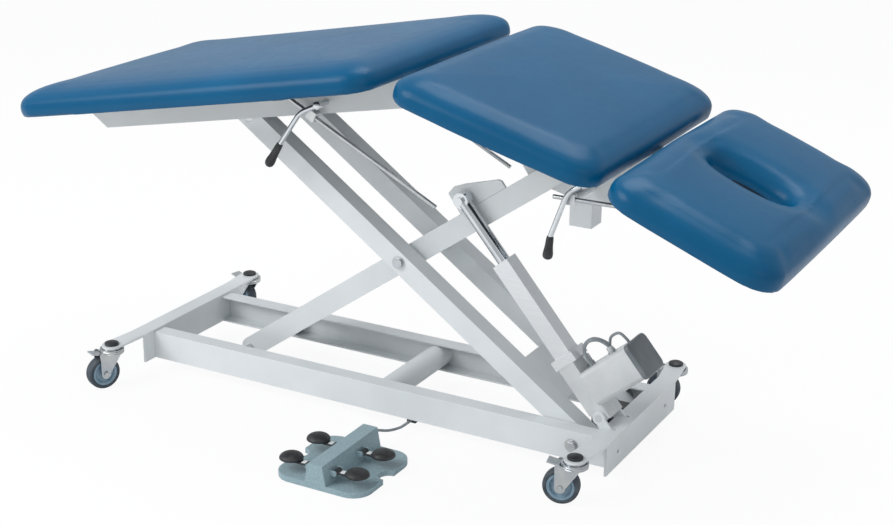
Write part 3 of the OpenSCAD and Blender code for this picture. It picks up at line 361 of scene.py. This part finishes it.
# Bolt heads: shares of the head's radius and height, and the washer's heights in millimetres
bolt = {"straight": 0.8, "top": 0.86, "washer": [(0, -0.3), (1.25, -0.3), (1.3, 0.6), (1.3, 1.2), (0, 1.3)]}


def hexBolt(centre, axis, radius, height, washer=True):
    # a six-sided head with its top edge drawn in, over a thin washer
    profile = [(0, 0), (radius, 0), (radius, bolt["straight"] * height), (bolt["top"] * radius, height),
               (0, height)]
    head = lathe(centre, axis, profile, 6)
    if not washer:
        return head
    return joined(head, lathe(centre, axis, np.array(bolt["washer"]) * [radius, mm], 32))


# Sections of the table: their hinge, and their directions along and up from the slopes in the photograph
slopes = {"long": -10.8, "middle": 15.4, "head": 21.8}


def section(hinge, slope):
    a = math.radians(slope)
    return {"origin": jointPlace[hinge], "along": np.array([math.cos(a), 0, -math.sin(a)]),
            "up": np.array([math.sin(a), 0, math.cos(a)])}


longSection = section("long_flex", slopes["long"])
middleSection = section("long_flex", slopes["middle"])
headSection = section("head_tilt", slopes["head"])


def placed(part, points):
    # x along the section, y across the table, z square to the section, all in millimetres
    points = np.asarray(points, float) * mm
    return (part["origin"] + points[..., :1] * part["along"] + points[..., 1:2] * [0, 1.0, 0]
            + points[..., 2:] * part["up"])


# Steel pieces keep their solids' shape, with a finish and edges softened by so many millimetres
softening = {"merge": 2e-6, "flat": 0.4, "sharp": 28, "bevelled": 40, "segments": 2}   # metres, then degrees
softEdges = {
    "rail_near": 1.4, "rail_far": 1.4, "end_angle_left": 1.2, "end_angle_right": 1.2, "base_cross_tube": 0.8,
    "actuator_cross_member": 1.2, "control_box": 2.0, "cord_clip": 1.5, "caster_stems": 0.8,
    "outer_leg_near": 3.2, "outer_leg_far": 3.2, "leg_cross_plate": 0.8, "leg_top_axle": 1.0,
    "inner_arms": 1.6, "rod_hook": 1.2, "track_rollers": 1.2, "top_pivot_shaft": 1.2,
    "middle_side_plates": 1.0, "middle_cross_tubes": 1.4, "middle_board": 1.5, "long_board": 1.5,
    "head_board": 1.5, "long_rail_near": 1.4, "long_rail_far": 1.4, "long_cross_bars": 1.2,
    "ridge_shaft": 1.2, "raise_hinges": 0.8,
    "head_arms": 1.0, "long_clamps": 1.6, "long_lock_rods": 1.0, "head_clamp": 1.6, "head_lock_rod": 1.0,
    "actuator_tube": 2.2, "gear_motor": 1.2, "foot_switch_body": 2.4,
    **{f"caster_fork_{corner}": 0.7 for corner in ("nl", "nr", "fl", "fr")},
    **{f"caster_brake_{corner}": 0.7 for corner in ("nl", "nr", "fl", "fr")},
}


def softened(node, width):
    # a copy of the solid, its triangles merged into flat faces, under a bevel
    source = frame["nodes"][node]
    mesh = bpy.data.meshes.new("soft_" + node)
    work = bmesh.new()
    work.from_mesh(source.data)
    bmesh.ops.remove_doubles(work, verts=work.verts, dist=softening["merge"])
    flat = math.radians(softening["flat"])
    bmesh.ops.dissolve_limit(work, angle_limit=flat, verts=work.verts, edges=work.edges)
    work.to_mesh(mesh)
    work.free()
    mesh.shade_smooth()
    mesh.set_sharp_from_angle(angle=math.radians(softening["sharp"]))
    mesh.materials.clear()
    mesh.materials.append(finish[nodeSlot[node]])
    piece = bpy.data.objects.new("soft_" + node, mesh)
    bpy.context.scene.collection.objects.link(piece)
    edge = piece.modifiers.new("edge", "BEVEL")
    edge.width = width * mm
    edge.segments = softening["segments"]
    edge.limit_method = "ANGLE"
    edge.angle_limit = math.radians(softening["bevelled"])
    edge.harden_normals = True
    edge.miter_outer = "MITER_ARC"
    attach(piece, nodeBody[node])
    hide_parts(node)


for node, width in softEdges.items():
    softened(node, width)
print("steel pieces softened:", len(softEdges))

# The remaining solids keep their own mesh and take the finish in their slots
for node, solid in frame["nodes"].items():
    if node not in softEdges:
        for place in solid.material_slots:
            place.material = finish[nodeSlot[node]]


# Foot switch cord: the route of the solids, from the ridge's end to the clip under the near rail
cord = {
    "diameter": 6.0,
    "route": [(104, -260, 36), (104, -250, 36), (105, -240, 34.5), (107, -230, 31), (110, -220, 27),
              (113, -210, 23.5), (116, -200, 21), (119, -190, 19.5), (122, -180, 18.5), (125, -171, 18.5),
              (126, -166.5, 19), (127, -162, 19.5), (129, -154, 21), (130, -146, 22), (130, -137, 22)],
    "liftPivot": (512, 0, 60.8),   # the lift's pivot in the same measure, to bring the route into the frame
    "steps": 6,
    "sides": 16,
}


def smoothPath(knots, steps):
    # a Catmull-Rom curve through the knots
    ends = np.concatenate([2 * knots[:1] - knots[1:2], knots, 2 * knots[-1:] - knots[-2:-1]])
    t = np.linspace(0, 1, steps, endpoint=False)[None, :, None]
    a, b, c, d = (ends[k:len(ends) - 3 + k][:, None] for k in range(4))
    path = 0.5 * (2 * b + (c - a) * t + (2 * a - 5 * b + 4 * c - d) * t ** 2
                  + (3 * b - a - 3 * c + d) * t ** 3)
    return np.concatenate([path.reshape(-1, 3), knots[-1:]])


def makeCord(part):
    # a round tube along the route's smooth curve
    shift = jointPlace["lift"] - np.array(part["liftPivot"]) * mm
    path = smoothPath(np.array(part["route"], float) * mm + shift, part["steps"])
    shell = tube(path, part["diameter"] / 2 * mm, part["sides"], (1, 0, 0))
    piece = makePiece("footSwitchCord", shell, finish["cable_gray"], "base",
                      ["foot_switch_cord"])


makeCord(cord)


# Cushions: crowned pads with a soft upper roll and rounded corners, wrapped round their board's edge
cushions = {
    "long": {"section": longSection, "body": "long_section", "node": "long_cushion", "start": -918,
             "length": 924, "lift": 53.3, "voxel": 8.0},
    "middle": {"section": middleSection, "body": "middle", "node": "middle_cushion", "start": 10,
               "length": 461, "lift": 53.1, "voxel": 6.5},
    "head": {"section": headSection, "body": "head", "node": "head_cushion", "start": 2,
             "length": 368, "lift": 17.3, "voxel": 5.5,
             "opening": {"middle": 179, "length": 180, "width": 98, "across": 32, "down": 38,
                         "roundness": 0.84, "hem": 1, "rings": 9}},
}
pad = {"width": 686, "thick": 50, "crown": 6, "corner": 62, "bow": 2, "topRoll": 62, "lowRoll": 4,
       "widest": 15, "wrap": 8, "puff": 2.0, "cornerFollows": 0.45, "tightest": 18, "roundness": 0.9,
       "lowRings": 6, "topRings": 14, "crownRings": 14, "crownFrom": 0.9, "crownTo": 0.05}
air = {"pressure": 4.0, "cap": 4.0, "held": 2, "frames": 20, "passes": 12, "quality": 4, "mass": 0.4,
       "stiffness": 30, "bending": 2}


def padOutline(halfLength, halfWidth, corner, bow, perCorner=12, perSide=28):
    # four quarter rounds, a bow inside the half sizes, and sides that stand out by the bow at their middle
    halfLength, halfWidth = halfLength - bow, halfWidth - bow
    parts = []
    for quarter in range(4):
        signX = (1, -1, -1, 1)[quarter]
        signY = (1, 1, -1, -1)[quarter]
        phi = math.radians(90 * quarter) + np.linspace(0, math.pi / 2, perCorner)
        centreX, centreY = signX * (halfLength - corner), signY * (halfWidth - corner)
        parts.append(np.stack([centreX + corner * np.cos(phi), centreY + corner * np.sin(phi)], -1))
        s = np.linspace(1, -1, perSide + 2)[1:-1]
        if quarter % 2 == 0:
            side = np.stack([signX * (halfLength - corner) * s, np.full_like(s, signY * halfWidth)], -1)
            side[:, 1] += signY * bow * (1 - s ** 2)
        else:
            side = np.stack([np.full_like(s, signX * halfLength), signY * (halfWidth - corner) * s], -1)
            side[:, 0] += signX * bow * (1 - s ** 2)
        parts.append(side)
    return np.concatenate(parts)


def openingOutline(outline, opening, grow):
    # an oval with full ends: cosine and sine to a power below one, its points facing the outline's own
    turn = np.arctan2(outline[:, 1] / pad["width"], outline[:, 0] / (2 * opening["length"]))
    return np.stack([(opening["length"] / 2 + grow) * power(np.cos(turn), opening["roundness"]),
                     (opening["width"] / 2 + grow) * power(np.sin(turn), opening["roundness"])], -1)


def padRings(part):
    # rings from the underside round the board's edge, round the two rolls, over the crown or into the opening
    halfLength, halfWidth = part["length"] / 2 - pad["puff"], pad["width"] / 2 - pad["puff"]
    low = np.radians(np.linspace(-90, 0, pad["lowRings"]))
    top = np.radians(np.linspace(0, 90, pad["topRings"]))[1:]
    rise = pad["thick"] - pad["puff"] - pad["widest"]
    inset = np.concatenate([pad["lowRoll"] * (1 - np.cos(low)), pad["topRoll"] * (1 - np.cos(top))])
    height = pad["widest"] + np.concatenate([(pad["widest"] + pad["wrap"]) * np.sin(low),
                                             rise * np.sin(top) ** pad["roundness"]])
    rings = []
    for e, z in zip(inset, height):
        corner = max(pad["corner"] - pad["cornerFollows"] * e, pad["tightest"])
        ring = padOutline(halfLength - e, halfWidth - e, corner, pad["bow"])
        rings.append(np.column_stack([ring, np.full(len(ring), z)]))
    edge = rings[-1]
    opening = part.get("opening")
    if opening is None:
        for s in np.linspace(pad["crownFrom"], pad["crownTo"], pad["crownRings"]):
            crowned = edge * [s, s, 1]
            crowned[:, 2] += pad["crown"] * (1 - s ** 2)
            rings.append(crowned)
        return np.array(rings), False
    off = np.array([opening["middle"] - part["length"] / 2, 0])
    inner = openingOutline(edge, opening, opening["across"]) + off
    for s in np.linspace(0, 1, opening["rings"])[1:]:
        blend = edge[:, :2] * (1 - s) + inner * s
        rings.append(np.column_stack([blend, edge[:, 2] + pad["crown"] / 2 * np.sin(np.pi * s)]))
    for t in np.radians(np.linspace(0, 90, opening["rings"]))[1:]:
        rim = openingOutline(edge, opening, opening["across"] * (1 - np.sin(t)) - opening["hem"]) + off
        z = edge[0, 2] - opening["down"] * (1 - np.cos(t))
        rings.append(np.column_stack([rim, np.full(len(rim), z)]))
    foot = openingOutline(edge, opening, -opening["hem"]) + off
    rings.append(np.column_stack([foot, np.full(len(foot), -pad["wrap"])]))
    return np.array(rings), True


def evened(piece, voxel):
    # an even skin of small quads
    step = piece.modifiers.new("skin", "REMESH")
    step.mode = "VOXEL"
    step.voxel_size = voxel * mm
    graph = bpy.context.evaluated_depsgraph_get()
    mesh = bpy.data.meshes.new_from_object(piece.evaluated_get(graph))
    piece.modifiers.clear()
    piece.data = mesh


def pointsOf(mesh):
    points = np.empty(len(mesh.vertices) * 3)
    mesh.vertices.foreach_get("co", points)
    return points.reshape(-1, 3)


def evenedMove(mesh, move):
    # each point's movement becomes the mean of its own and its neighbours', again and again: no creases stay
    ends = np.empty(len(mesh.edges) * 2, int)
    mesh.edges.foreach_get("vertices", ends)
    first, second = ends.reshape(-1, 2).T
    count = 1 + np.bincount(ends, minlength=len(move))[:, None]
    for _ in range(air["passes"]):
        total = move.copy()
        np.add.at(total, first, move[second])
        np.add.at(total, second, move[first])
        move = total / count
    return move


def puffed(piece):
    # cloth with air pressure, its underside held; each point may move by at most the cap
    scene = bpy.context.scene
    rest = pointsOf(piece.data)
    held = piece.vertex_groups.new(name="held")
    held.add(np.flatnonzero(rest[:, 2] < air["held"] * mm).tolist(), 1.0, "REPLACE")
    cloth = piece.modifiers.new("cloth", "CLOTH")
    cloth.settings.quality = air["quality"]
    cloth.settings.mass = air["mass"]
    cloth.settings.tension_stiffness = air["stiffness"]
    cloth.settings.compression_stiffness = air["stiffness"]
    cloth.settings.bending_stiffness = air["bending"]
    cloth.settings.use_pressure = True
    cloth.settings.uniform_pressure_force = air["pressure"]
    cloth.settings.vertex_group_mass = "held"
    cloth.settings.effector_weights.gravity = 0
    cloth.point_cache.frame_start = 1
    cloth.point_cache.frame_end = air["frames"]
    for step in range(1, air["frames"] + 1):
        scene.frame_set(step)
    graph = bpy.context.evaluated_depsgraph_get()
    swollen = pointsOf(piece.evaluated_get(graph).data)
    move = swollen - rest
    reach = np.linalg.norm(move, axis=1)[:, None]
    move = evenedMove(piece.data, move * (air["cap"] * mm / np.maximum(reach, air["cap"] * mm)))
    piece.modifiers.remove(cloth)
    piece.vertex_groups.clear()
    scene.frame_set(1)
    piece.data.vertices.foreach_set("co", (rest + move).ravel())
    print("puffed", piece.name, "by up to", round(float(reach.max() / mm), 1), "mm")


def makeCushion(name, part):
    # rings closed to a shell, an even skin over it, filled with air, then laid on the section's slope
    rings, loop = padRings(part)
    points, faces = closedGrid(rings * mm, loop)
    mesh = bpy.data.meshes.new(name + "Pad")
    mesh.from_pydata(points.tolist(), [], faces)
    piece = bpy.data.objects.new(name + "Pad", mesh)
    bpy.context.scene.collection.objects.link(piece)
    work = bmesh.new()
    work.from_mesh(mesh)
    bmesh.ops.recalc_face_normals(work, faces=work.faces)
    work.to_mesh(mesh)
    work.free()
    evened(piece, part["voxel"])
    puffed(piece)
    local = pointsOf(piece.data) / mm + [part["start"] + part["length"] / 2, 0, part["lift"]]
    piece.data.vertices.foreach_set("co", placed(part["section"], local).ravel())
    piece.data.shade_smooth()
    piece.data.materials.clear()
    piece.data.materials.append(finish["upholstery"])
    piece.data.update()
    smooth = piece.modifiers.new("smooth", "SUBSURF")
    smooth.levels = 1
    smooth.render_levels = 1
    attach(piece, part["body"])
    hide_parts(part["node"])


for name, part in cushions.items():
    makeCushion(name, part)
print("cushions made")


# Casters: tyre and hub of each wheel, the axle's bolt heads on the fork, and the swivel's ball race
caster = {"tyreMiddle": 32.3, "tyreHeight": 5.2, "tyreWidth": 12.4, "corner": 0.6, "around": 72, "across": 28,
          "axleBolt": 6.5, "boltHigh": 4, "boltOut": 18.1,
          "hub": [(0, 11.2), (4.5, 11.2), (5.5, 10.2), (9.5, 9.8), (10.5, 7.2), (20.5, 6.2), (22.2, 8.2),
                  (23.2, 10.9), (28.2, 11.6), (29, 10.4)]}   # one half; the other is its mirror image
race = {"low": 79, "radius": 26, "around": 64,
        "ring": [(-3, 0.6), (0.3, 0.6), (1.1, 1.4), (1.1, 3), (0.2, 3.9), (0.2, 4.7), (1.5, 5.6), (1.5, 7.8),
                 (0.4, 8.8), (0.4, 9.6), (1.1, 10.4), (1.1, 11.4), (-3, 11.4)]}


def makeWheel(corner):
    centre, axis = jointPlace["roll_" + corner], jointAxis["roll_" + corner]
    axis, first, second = squareTo(axis)
    around = np.linspace(0, 2 * np.pi, caster["around"], endpoint=False)[:, None, None]
    across = np.linspace(0, 2 * np.pi, caster["across"], endpoint=False)[None, :, None]
    # a ring whose section is a rounded square: powers of sine and cosine below one fill out its corners
    radius = (caster["tyreMiddle"] + caster["tyreHeight"] * power(np.cos(across), caster["corner"])) * mm
    height = caster["tyreWidth"] * power(np.sin(across), caster["corner"]) * mm
    tread = centre + (first * np.cos(around) + second * np.sin(around)) * radius + axis * height
    makePiece("tyre_" + corner, closedGrid(tread, True), finish["tyre"], "wheel_" + corner,
              ["caster_wheel_" + corner])
    half = np.array(caster["hub"])
    hub = lathe(centre, axis, np.concatenate([half, half[::-1] * [1, -1]]) * mm)
    makePiece("hub_" + corner, hub, made["hubPlastic"], "wheel_" + corner)
    place, radius, height = (caster[key] * mm for key in ("boltOut", "axleBolt", "boltHigh"))
    bolts = [hexBolt(centre + out * place, out, radius, height, False) for out in (axis, -axis)]
    makePiece("axleBolts_" + corner, joined(*bolts), finish["zinc"], "fork_" + corner)


def makeRace(corner):
    # a closed band round the swivel: the ring's section carried once round the stem
    centre = jointPlace["swivel_" + corner]
    around = np.linspace(0, 2 * np.pi, race["around"], endpoint=False)[:, None]
    radius, height = np.array(race["ring"], float).T
    radius = (radius + race["radius"]) * mm
    height = (height + race["low"]) * mm
    points = np.stack([centre[0] + radius * np.cos(around), centre[1] + radius * np.sin(around),
                       np.broadcast_to(height, (race["around"], len(height)))], -1)
    makePiece("race_" + corner, closedGrid(points, True), finish["zinc"], "fork_" + corner)


for corner in ("nl", "nr", "fl", "fr"):
    makeWheel(corner)
    makeRace(corner)
print("casters made")


# Levers: a bent rod with a turned grip and a boss on its shaft
levers = {
    "long_lever": {"section": longSection, "y": -184, "shaft": (-184, 153),
                   "rod": [(-214, 4), (-260, -8), (-324, -71), (-366, -117)]},
    "head_lever": {"section": middleSection, "y": -142, "shaft": (-142, 28),
                   "rod": [(388, -23), (361, -53), (354, -153), (362, -201)]},
}
leverSizes = {"rod": 5.5, "bend": 16, "shaft": 6, "shaftChamfer": 0.8,
              "boss": 9, "bossWidth": 16, "bossDome": 5, "bossChamfer": 1,
              "grip": [(0, -1), (5.6, -1), (6.6, 0.5), (7.4, 5), (7.8, 12), (8.1, 24), (9.2, 36), (10.2, 44),
                       (10.5, 49), (10.2, 53), (9.0, 57), (6.4, 60), (3, 61.6), (0, 62)]}


def pinProfile(radius, low, high, chamfer):
    # a round pin from low to high with both its end edges cut off
    return [(0, low), (radius - chamfer, low), (radius, low + chamfer), (radius, high - chamfer),
            (radius - chamfer, high), (0, high)]


def makeLever(node, part):
    # a tube along the bent path, with profiles turned about the shaft and about the grip's own line
    x, z = np.array(part["rod"], float).T
    corners = placed(part["section"], np.column_stack([x, np.full(len(x), part["y"]), z]))
    rod = tube(roundedPath(corners[:3], leverSizes["bend"] * mm), leverSizes["rod"] * mm)
    across = np.array([0, 1.0, 0])
    radius, half, dome = leverSizes["boss"], leverSizes["bossWidth"] / 2, leverSizes["bossDome"]
    turn = np.radians(np.linspace(0, 90, 9))   # the boss's outer face is a quarter of an ellipse
    profile = np.concatenate([np.column_stack([radius * np.sin(turn), dome - half - dome * np.cos(turn)]),
                              pinProfile(radius, -half, half, leverSizes["bossChamfer"])[3:]])
    boss = lathe(corners[0], across, profile * mm)
    profile = np.array(pinProfile(leverSizes["shaft"], *part["shaft"], leverSizes["shaftChamfer"]))
    shaft = lathe(placed(part["section"], [x[0], 0, z[0]]), across, profile * mm)
    makePiece(node + "Rod", joined(rod, boss, shaft), finish["chrome"], nodeBody[node], [node])
    reach = np.linalg.norm(corners[3] - corners[2])
    profile = np.array(leverSizes["grip"]) * mm
    profile[:, 1] *= reach / profile[-1, 1]
    makePiece(node + "Grip", lathe(corners[2], corners[3] - corners[2], profile), finish["black_plastic"],
              nodeBody[node])


for node, part in levers.items():
    makeLever(node, part)
print("levers made")


# Actuator: the motor's dark end cap, its glands and screws, and its looping leads
ram = {"pin": jointPlace["actuator_turn"], "along": jointAxis["ram"]}
ram["up"] = np.array([-ram["along"][2], 0, ram["along"][0]])
motor = {"near": 20, "long": 76, "wide": 86, "low": -144, "high": -20, "corner": 12, "proud": 1.5,
         "cap": [(1, -0.5), (0, -0.6), (-6.5, -0.5), (-8.5, 0.3), (-9.6, 1.8), (-10, 4)],
         "glands": [{"z": -36, "tall": 26}, {"z": -92, "tall": 14}], "gland": 7,
         "glandShape": [(1.6, 0), (1.6, 0.3), (0, 0.32), (0, 0.7), (-1, 0.72), (-1.6, 0.95), (-2.4, 1)],
         "lead": 3, "leadSteps": 8, "leadSides": 14, "leadFacing": (0.3, 1, 0.2),
         "leads": [[(96, 0, -36), (124, 0, -36), (140, 6, -46), (140, 12, -66), (122, 13, -84), (98, 12, -92),
                    (92, 12, -94)],
                   [(96, 0, -92), (112, 0, -92), (132, -6, -84), (141, -11, -66), (132, -12, -48),
                    (112, -12, -42), (92, -12, -42)],
                   [(112, 8, -92), (124, 10, -104), (122, 10, -124), (104, 8, -132), (92, 8, -132)]],
         "screwsAlong": (60, 70), "screwInset": 14, "screwSunk": 0.5, "screw": (4, 3.5)}


def onRam(x, y, z):
    # x along the actuator from its lower pin, y across the table, z square to both, in millimetres
    points = np.stack(np.broadcast_arrays(*(np.asarray(v, float) for v in (x, y, z))), -1) * mm
    return (ram["pin"] + points[..., :1] * ram["along"] + points[..., 1:2] * [0, 1.0, 0]
            + points[..., 2:] * ram["up"])


def boxRings(part, levels):
    # rounded rectangles stacked along the motor: each level is a height and how far its edge is drawn in
    middle = part["near"] + part["long"] / 2
    rings = []
    for z, inset in levels:
        out = part["proud"] - inset
        ring = padOutline(part["long"] / 2 + out, part["wide"] / 2 + out, part["corner"], 0, 8, 4)
        rings.append(onRam(middle + ring[:, 0], ring[:, 1], z))
    return closedGrid(np.array(rings))


def makeMotor(part):
    # rounded rectangles stacked for the cap, and round tubes along smooth curves for the leads
    cap = boxRings(part, [(part["low"] + z, inset) for z, inset in part["cap"]])
    makePiece("motorCap", cap, made["capPlastic"], "actuator")
    top = part["near"] + part["long"]
    shells = []
    for route in part["leads"]:
        knots = onRam(*np.array(route, float).T)
        shells.append(tube(smoothPath(knots, part["leadSteps"]), part["lead"] * mm, part["leadSides"],
                           part["leadFacing"]))
    makePiece("motorLeads", joined(*shells), finish["cable_gray"], "actuator", ["motor_cables"])
    glands = []
    for gland in part["glands"]:
        # a row of the shape is how far it stands out from the gland's radius, and a share of its height
        shape = np.array([(-part["gland"], 0), *part["glandShape"], (-part["gland"], 1)])
        profile = (shape + [part["gland"], 0]) * [mm, gland["tall"] * mm]
        glands.append(lathe(onRam(top, 0, gland["z"]), ram["along"], profile, 32))
    makePiece("motorGlands", joined(*glands), finish["zinc"], "actuator")
    radius, height = (size * mm for size in part["screw"])
    aside = part["wide"] / 2 - part["screwInset"]
    screws = [hexBolt(onRam(part["near"] + along, side * aside, part["high"] - part["screwSunk"]), ram["up"],
                      radius, height, False) for along in part["screwsAlong"] for side in (-1, 1)]
    makePiece("motorScrews", joined(*screws), finish["zinc"], "actuator")


makeMotor(motor)
print("actuator made")


# Pivot bolts: hexagon heads with washers over the plain heads of the solids
pivotBolts = {"radius": 11.5, "height": 7.5, "lowerY": 150.4, "centreY": 112}


def makePivotBolts(part):
    # two heads on each side, facing out, at the lower and the centre pivots
    shells = []
    radius, height = part["radius"] * mm, part["height"] * mm
    for out in (np.array([0, -1.0, 0]), np.array([0, 1.0, 0])):
        for joint, y in (("lift", part["lowerY"]), ("scissor", part["centreY"])):
            shells.append(hexBolt(jointPlace[joint] + out * y * mm, out, radius, height))
    makePiece("pivotBoltHeads", joined(*shells), finish["zinc"], "outer_legs")


makePivotBolts(pivotBolts)
print("pivot bolts made")


# Foot switch: a black dome on a flat strap for each button, hinged at the ridge
button = {"radius": 25, "domeLow": 3, "domeHigh": 11.5, "middle": 4, "roundness": 0.8, "share": 0.365,
          "switchWidth": 214, "root": 31, "strapFrom": 2, "strapWide": 17, "strapThick": 4, "strapCorner": 4,
          "patch": (10, 20, 13), "patchSunk": 0.2, "patchThick": 0.9, "patchCorner": 1.5,
          "barrel": 5.5, "barrelWide": 26, "barrelChamfer": 1, "lowEdge": 0.6, "topEdge": 0.8}


def strapShell(start, end, wide, low, high, corner):
    # a rounded rectangle between two points of the strap, from low to high, with its edges drawn in
    centre, half = (start + end) / 2, (end - start) / 2
    under, over = button["lowEdge"], button["topEdge"]
    rings = []
    for height, inset in ((low, under), (low + under, 0), (high - over, 0), (high, over)):
        ring = padOutline(half - inset, wide / 2 - inset, corner, 0, 6, 3)
        rings.append(np.column_stack([centre + ring[:, 0], ring[:, 1], np.full(len(ring), height)]))
    return np.array(rings)


def makeButtons(part):
    # each button is drawn for the right side and mirrored by the sign of its side
    reach = part["switchWidth"] * part["share"] - part["root"]
    for number, side in ((1, -1), (2, -1), (3, 1), (4, 1)):
        hinge = jointPlace[f"press_{number}"]
        flip = np.array([side, 1, 1]) * mm
        thick = part["strapThick"] / 2
        strap = strapShell(part["strapFrom"], reach, part["strapWide"], -thick, thick, part["strapCorner"])
        # half circles make the dome: a flat lower bowl and a higher upper one
        turn = np.radians(np.linspace(-90, 90, 25))
        rise = np.where(turn < 0, part["domeLow"], part["domeHigh"]) * np.sin(turn)
        radius = part["radius"] * power(np.cos(turn), part["roundness"])
        profile = np.column_stack([radius, part["middle"] + rise]) * mm
        dome = lathe(hinge + np.array([side * reach, 0, 0]) * mm, (0, 0, 1), profile, 56)
        half = part["barrelWide"] / 2
        profile = np.array(pinProfile(part["barrel"], -half, half, part["barrelChamfer"])) * mm
        barrel = lathe(hinge, (0, 1, 0), profile, 24)
        makePiece(f"buttonDome_{number}", joined(closedGrid(strap * flip + hinge), dome, barrel),
                  finish["button_rubber"], f"button_{number}", [f"foot_button_{number}"])
        patch = strapShell(*part["patch"], thick - part["patchSunk"], thick + part["patchThick"],
                           part["patchCorner"])
        makePiece(f"strapPatch_{number}", closedGrid(patch * flip + hinge), finish["frame_paint"],
                  f"button_{number}")


makeButtons(button)
print("foot switch made")


# Stage: pale floor that shows white to the camera alone, and soft lamps
stage = {"size": 40, "drop": 0.2, "white": (0.86, 0.86, 0.86), "shown": 0.93,
         "world": 0.62, "sky": (0.94, 0.97, 1),
         "lamps": {"key": {"place": (-2.2, -2.6, 3.0), "aim": (0, 0, 0.5), "size": 3.0, "power": 110},
                   "fill": {"place": (3.2, -1.8, 2.2), "aim": (0.1, 0, 0.5), "size": 2.4, "power": 8},
                   "top": {"place": (0.2, 1.2, 3.6), "aim": (0, 0, 0.6), "size": 2.4, "power": 52}}}


def seenRay(tree):
    # one where the ray comes straight from the camera
    return tree.nodes.new("ShaderNodeLightPath").outputs["Is Camera Ray"]


def makeFloor(part):
    half = part["size"] / 2
    corners = np.array([(-half, -half, 0), (half, -half, 0), (half, half, 0), (-half, half, 0)], float)
    corners[:, 2] -= part["drop"] * mm
    mesh = bpy.data.meshes.new("floor")
    mesh.from_pydata(corners.tolist(), [], [[0, 1, 2, 3]])
    material = bpy.data.materials.new("paleFloor")
    material.use_nodes = True
    tree = material.node_tree
    tree.nodes.clear()
    matt = tree.nodes.new("ShaderNodeBsdfDiffuse")
    matt.inputs["Color"].default_value = (*part["white"], 1)
    glow = tree.nodes.new("ShaderNodeEmission")
    glow.inputs["Color"].default_value = (1, 1, 1, 1)
    share = tree.nodes.new("ShaderNodeMath")
    share.operation = "MULTIPLY"
    share.inputs[1].default_value = part["shown"]
    tree.links.new(seenRay(tree), share.inputs[0])
    mix = tree.nodes.new("ShaderNodeMixShader")
    tree.links.new(share.outputs[0], mix.inputs["Fac"])
    tree.links.new(matt.outputs[0], mix.inputs[1])
    tree.links.new(glow.outputs[0], mix.inputs[2])
    out = tree.nodes.new("ShaderNodeOutputMaterial")
    tree.links.new(mix.outputs[0], out.inputs["Surface"])
    mesh.materials.append(material)
    floor = bpy.data.objects.new("floor", mesh)
    bpy.context.scene.collection.objects.link(floor)


def makeWorld(part):
    world = bpy.data.worlds.new("studio")
    bpy.context.scene.world = world
    world.use_nodes = True
    tree = world.node_tree
    tree.nodes.clear()
    seen = tree.nodes.new("ShaderNodeBackground")
    seen.inputs["Color"].default_value = (1, 1, 1, 1)
    light = tree.nodes.new("ShaderNodeBackground")
    light.inputs["Color"].default_value = (*part["sky"], 1)
    light.inputs["Strength"].default_value = part["world"]
    mix = tree.nodes.new("ShaderNodeMixShader")
    tree.links.new(seenRay(tree), mix.inputs["Fac"])
    tree.links.new(light.outputs[0], mix.inputs[1])
    tree.links.new(seen.outputs[0], mix.inputs[2])
    out = tree.nodes.new("ShaderNodeOutputWorld")
    tree.links.new(mix.outputs[0], out.inputs["Surface"])


def makeLamps(part):
    # discs of light that face their aim
    for name, lamp in part["lamps"].items():
        data = bpy.data.lights.new(name, "AREA")
        data.shape = "DISK"
        data.size = lamp["size"]
        data.energy = lamp["power"]
        light = bpy.data.objects.new(name, data)
        bpy.context.scene.collection.objects.link(light)
        back, right, up = squareTo(np.array(lamp["place"]) - np.array(lamp["aim"]))
        pose = np.eye(4)
        pose[:3, 0], pose[:3, 1], pose[:3, 2], pose[:3, 3] = right, up, back, lamp["place"]
        light.matrix_world = Matrix(pose.tolist())


makeFloor(stage)
makeWorld(stage)
makeLamps(stage)
bpy.context.scene.view_settings.view_transform = "Standard"
print("stage set")
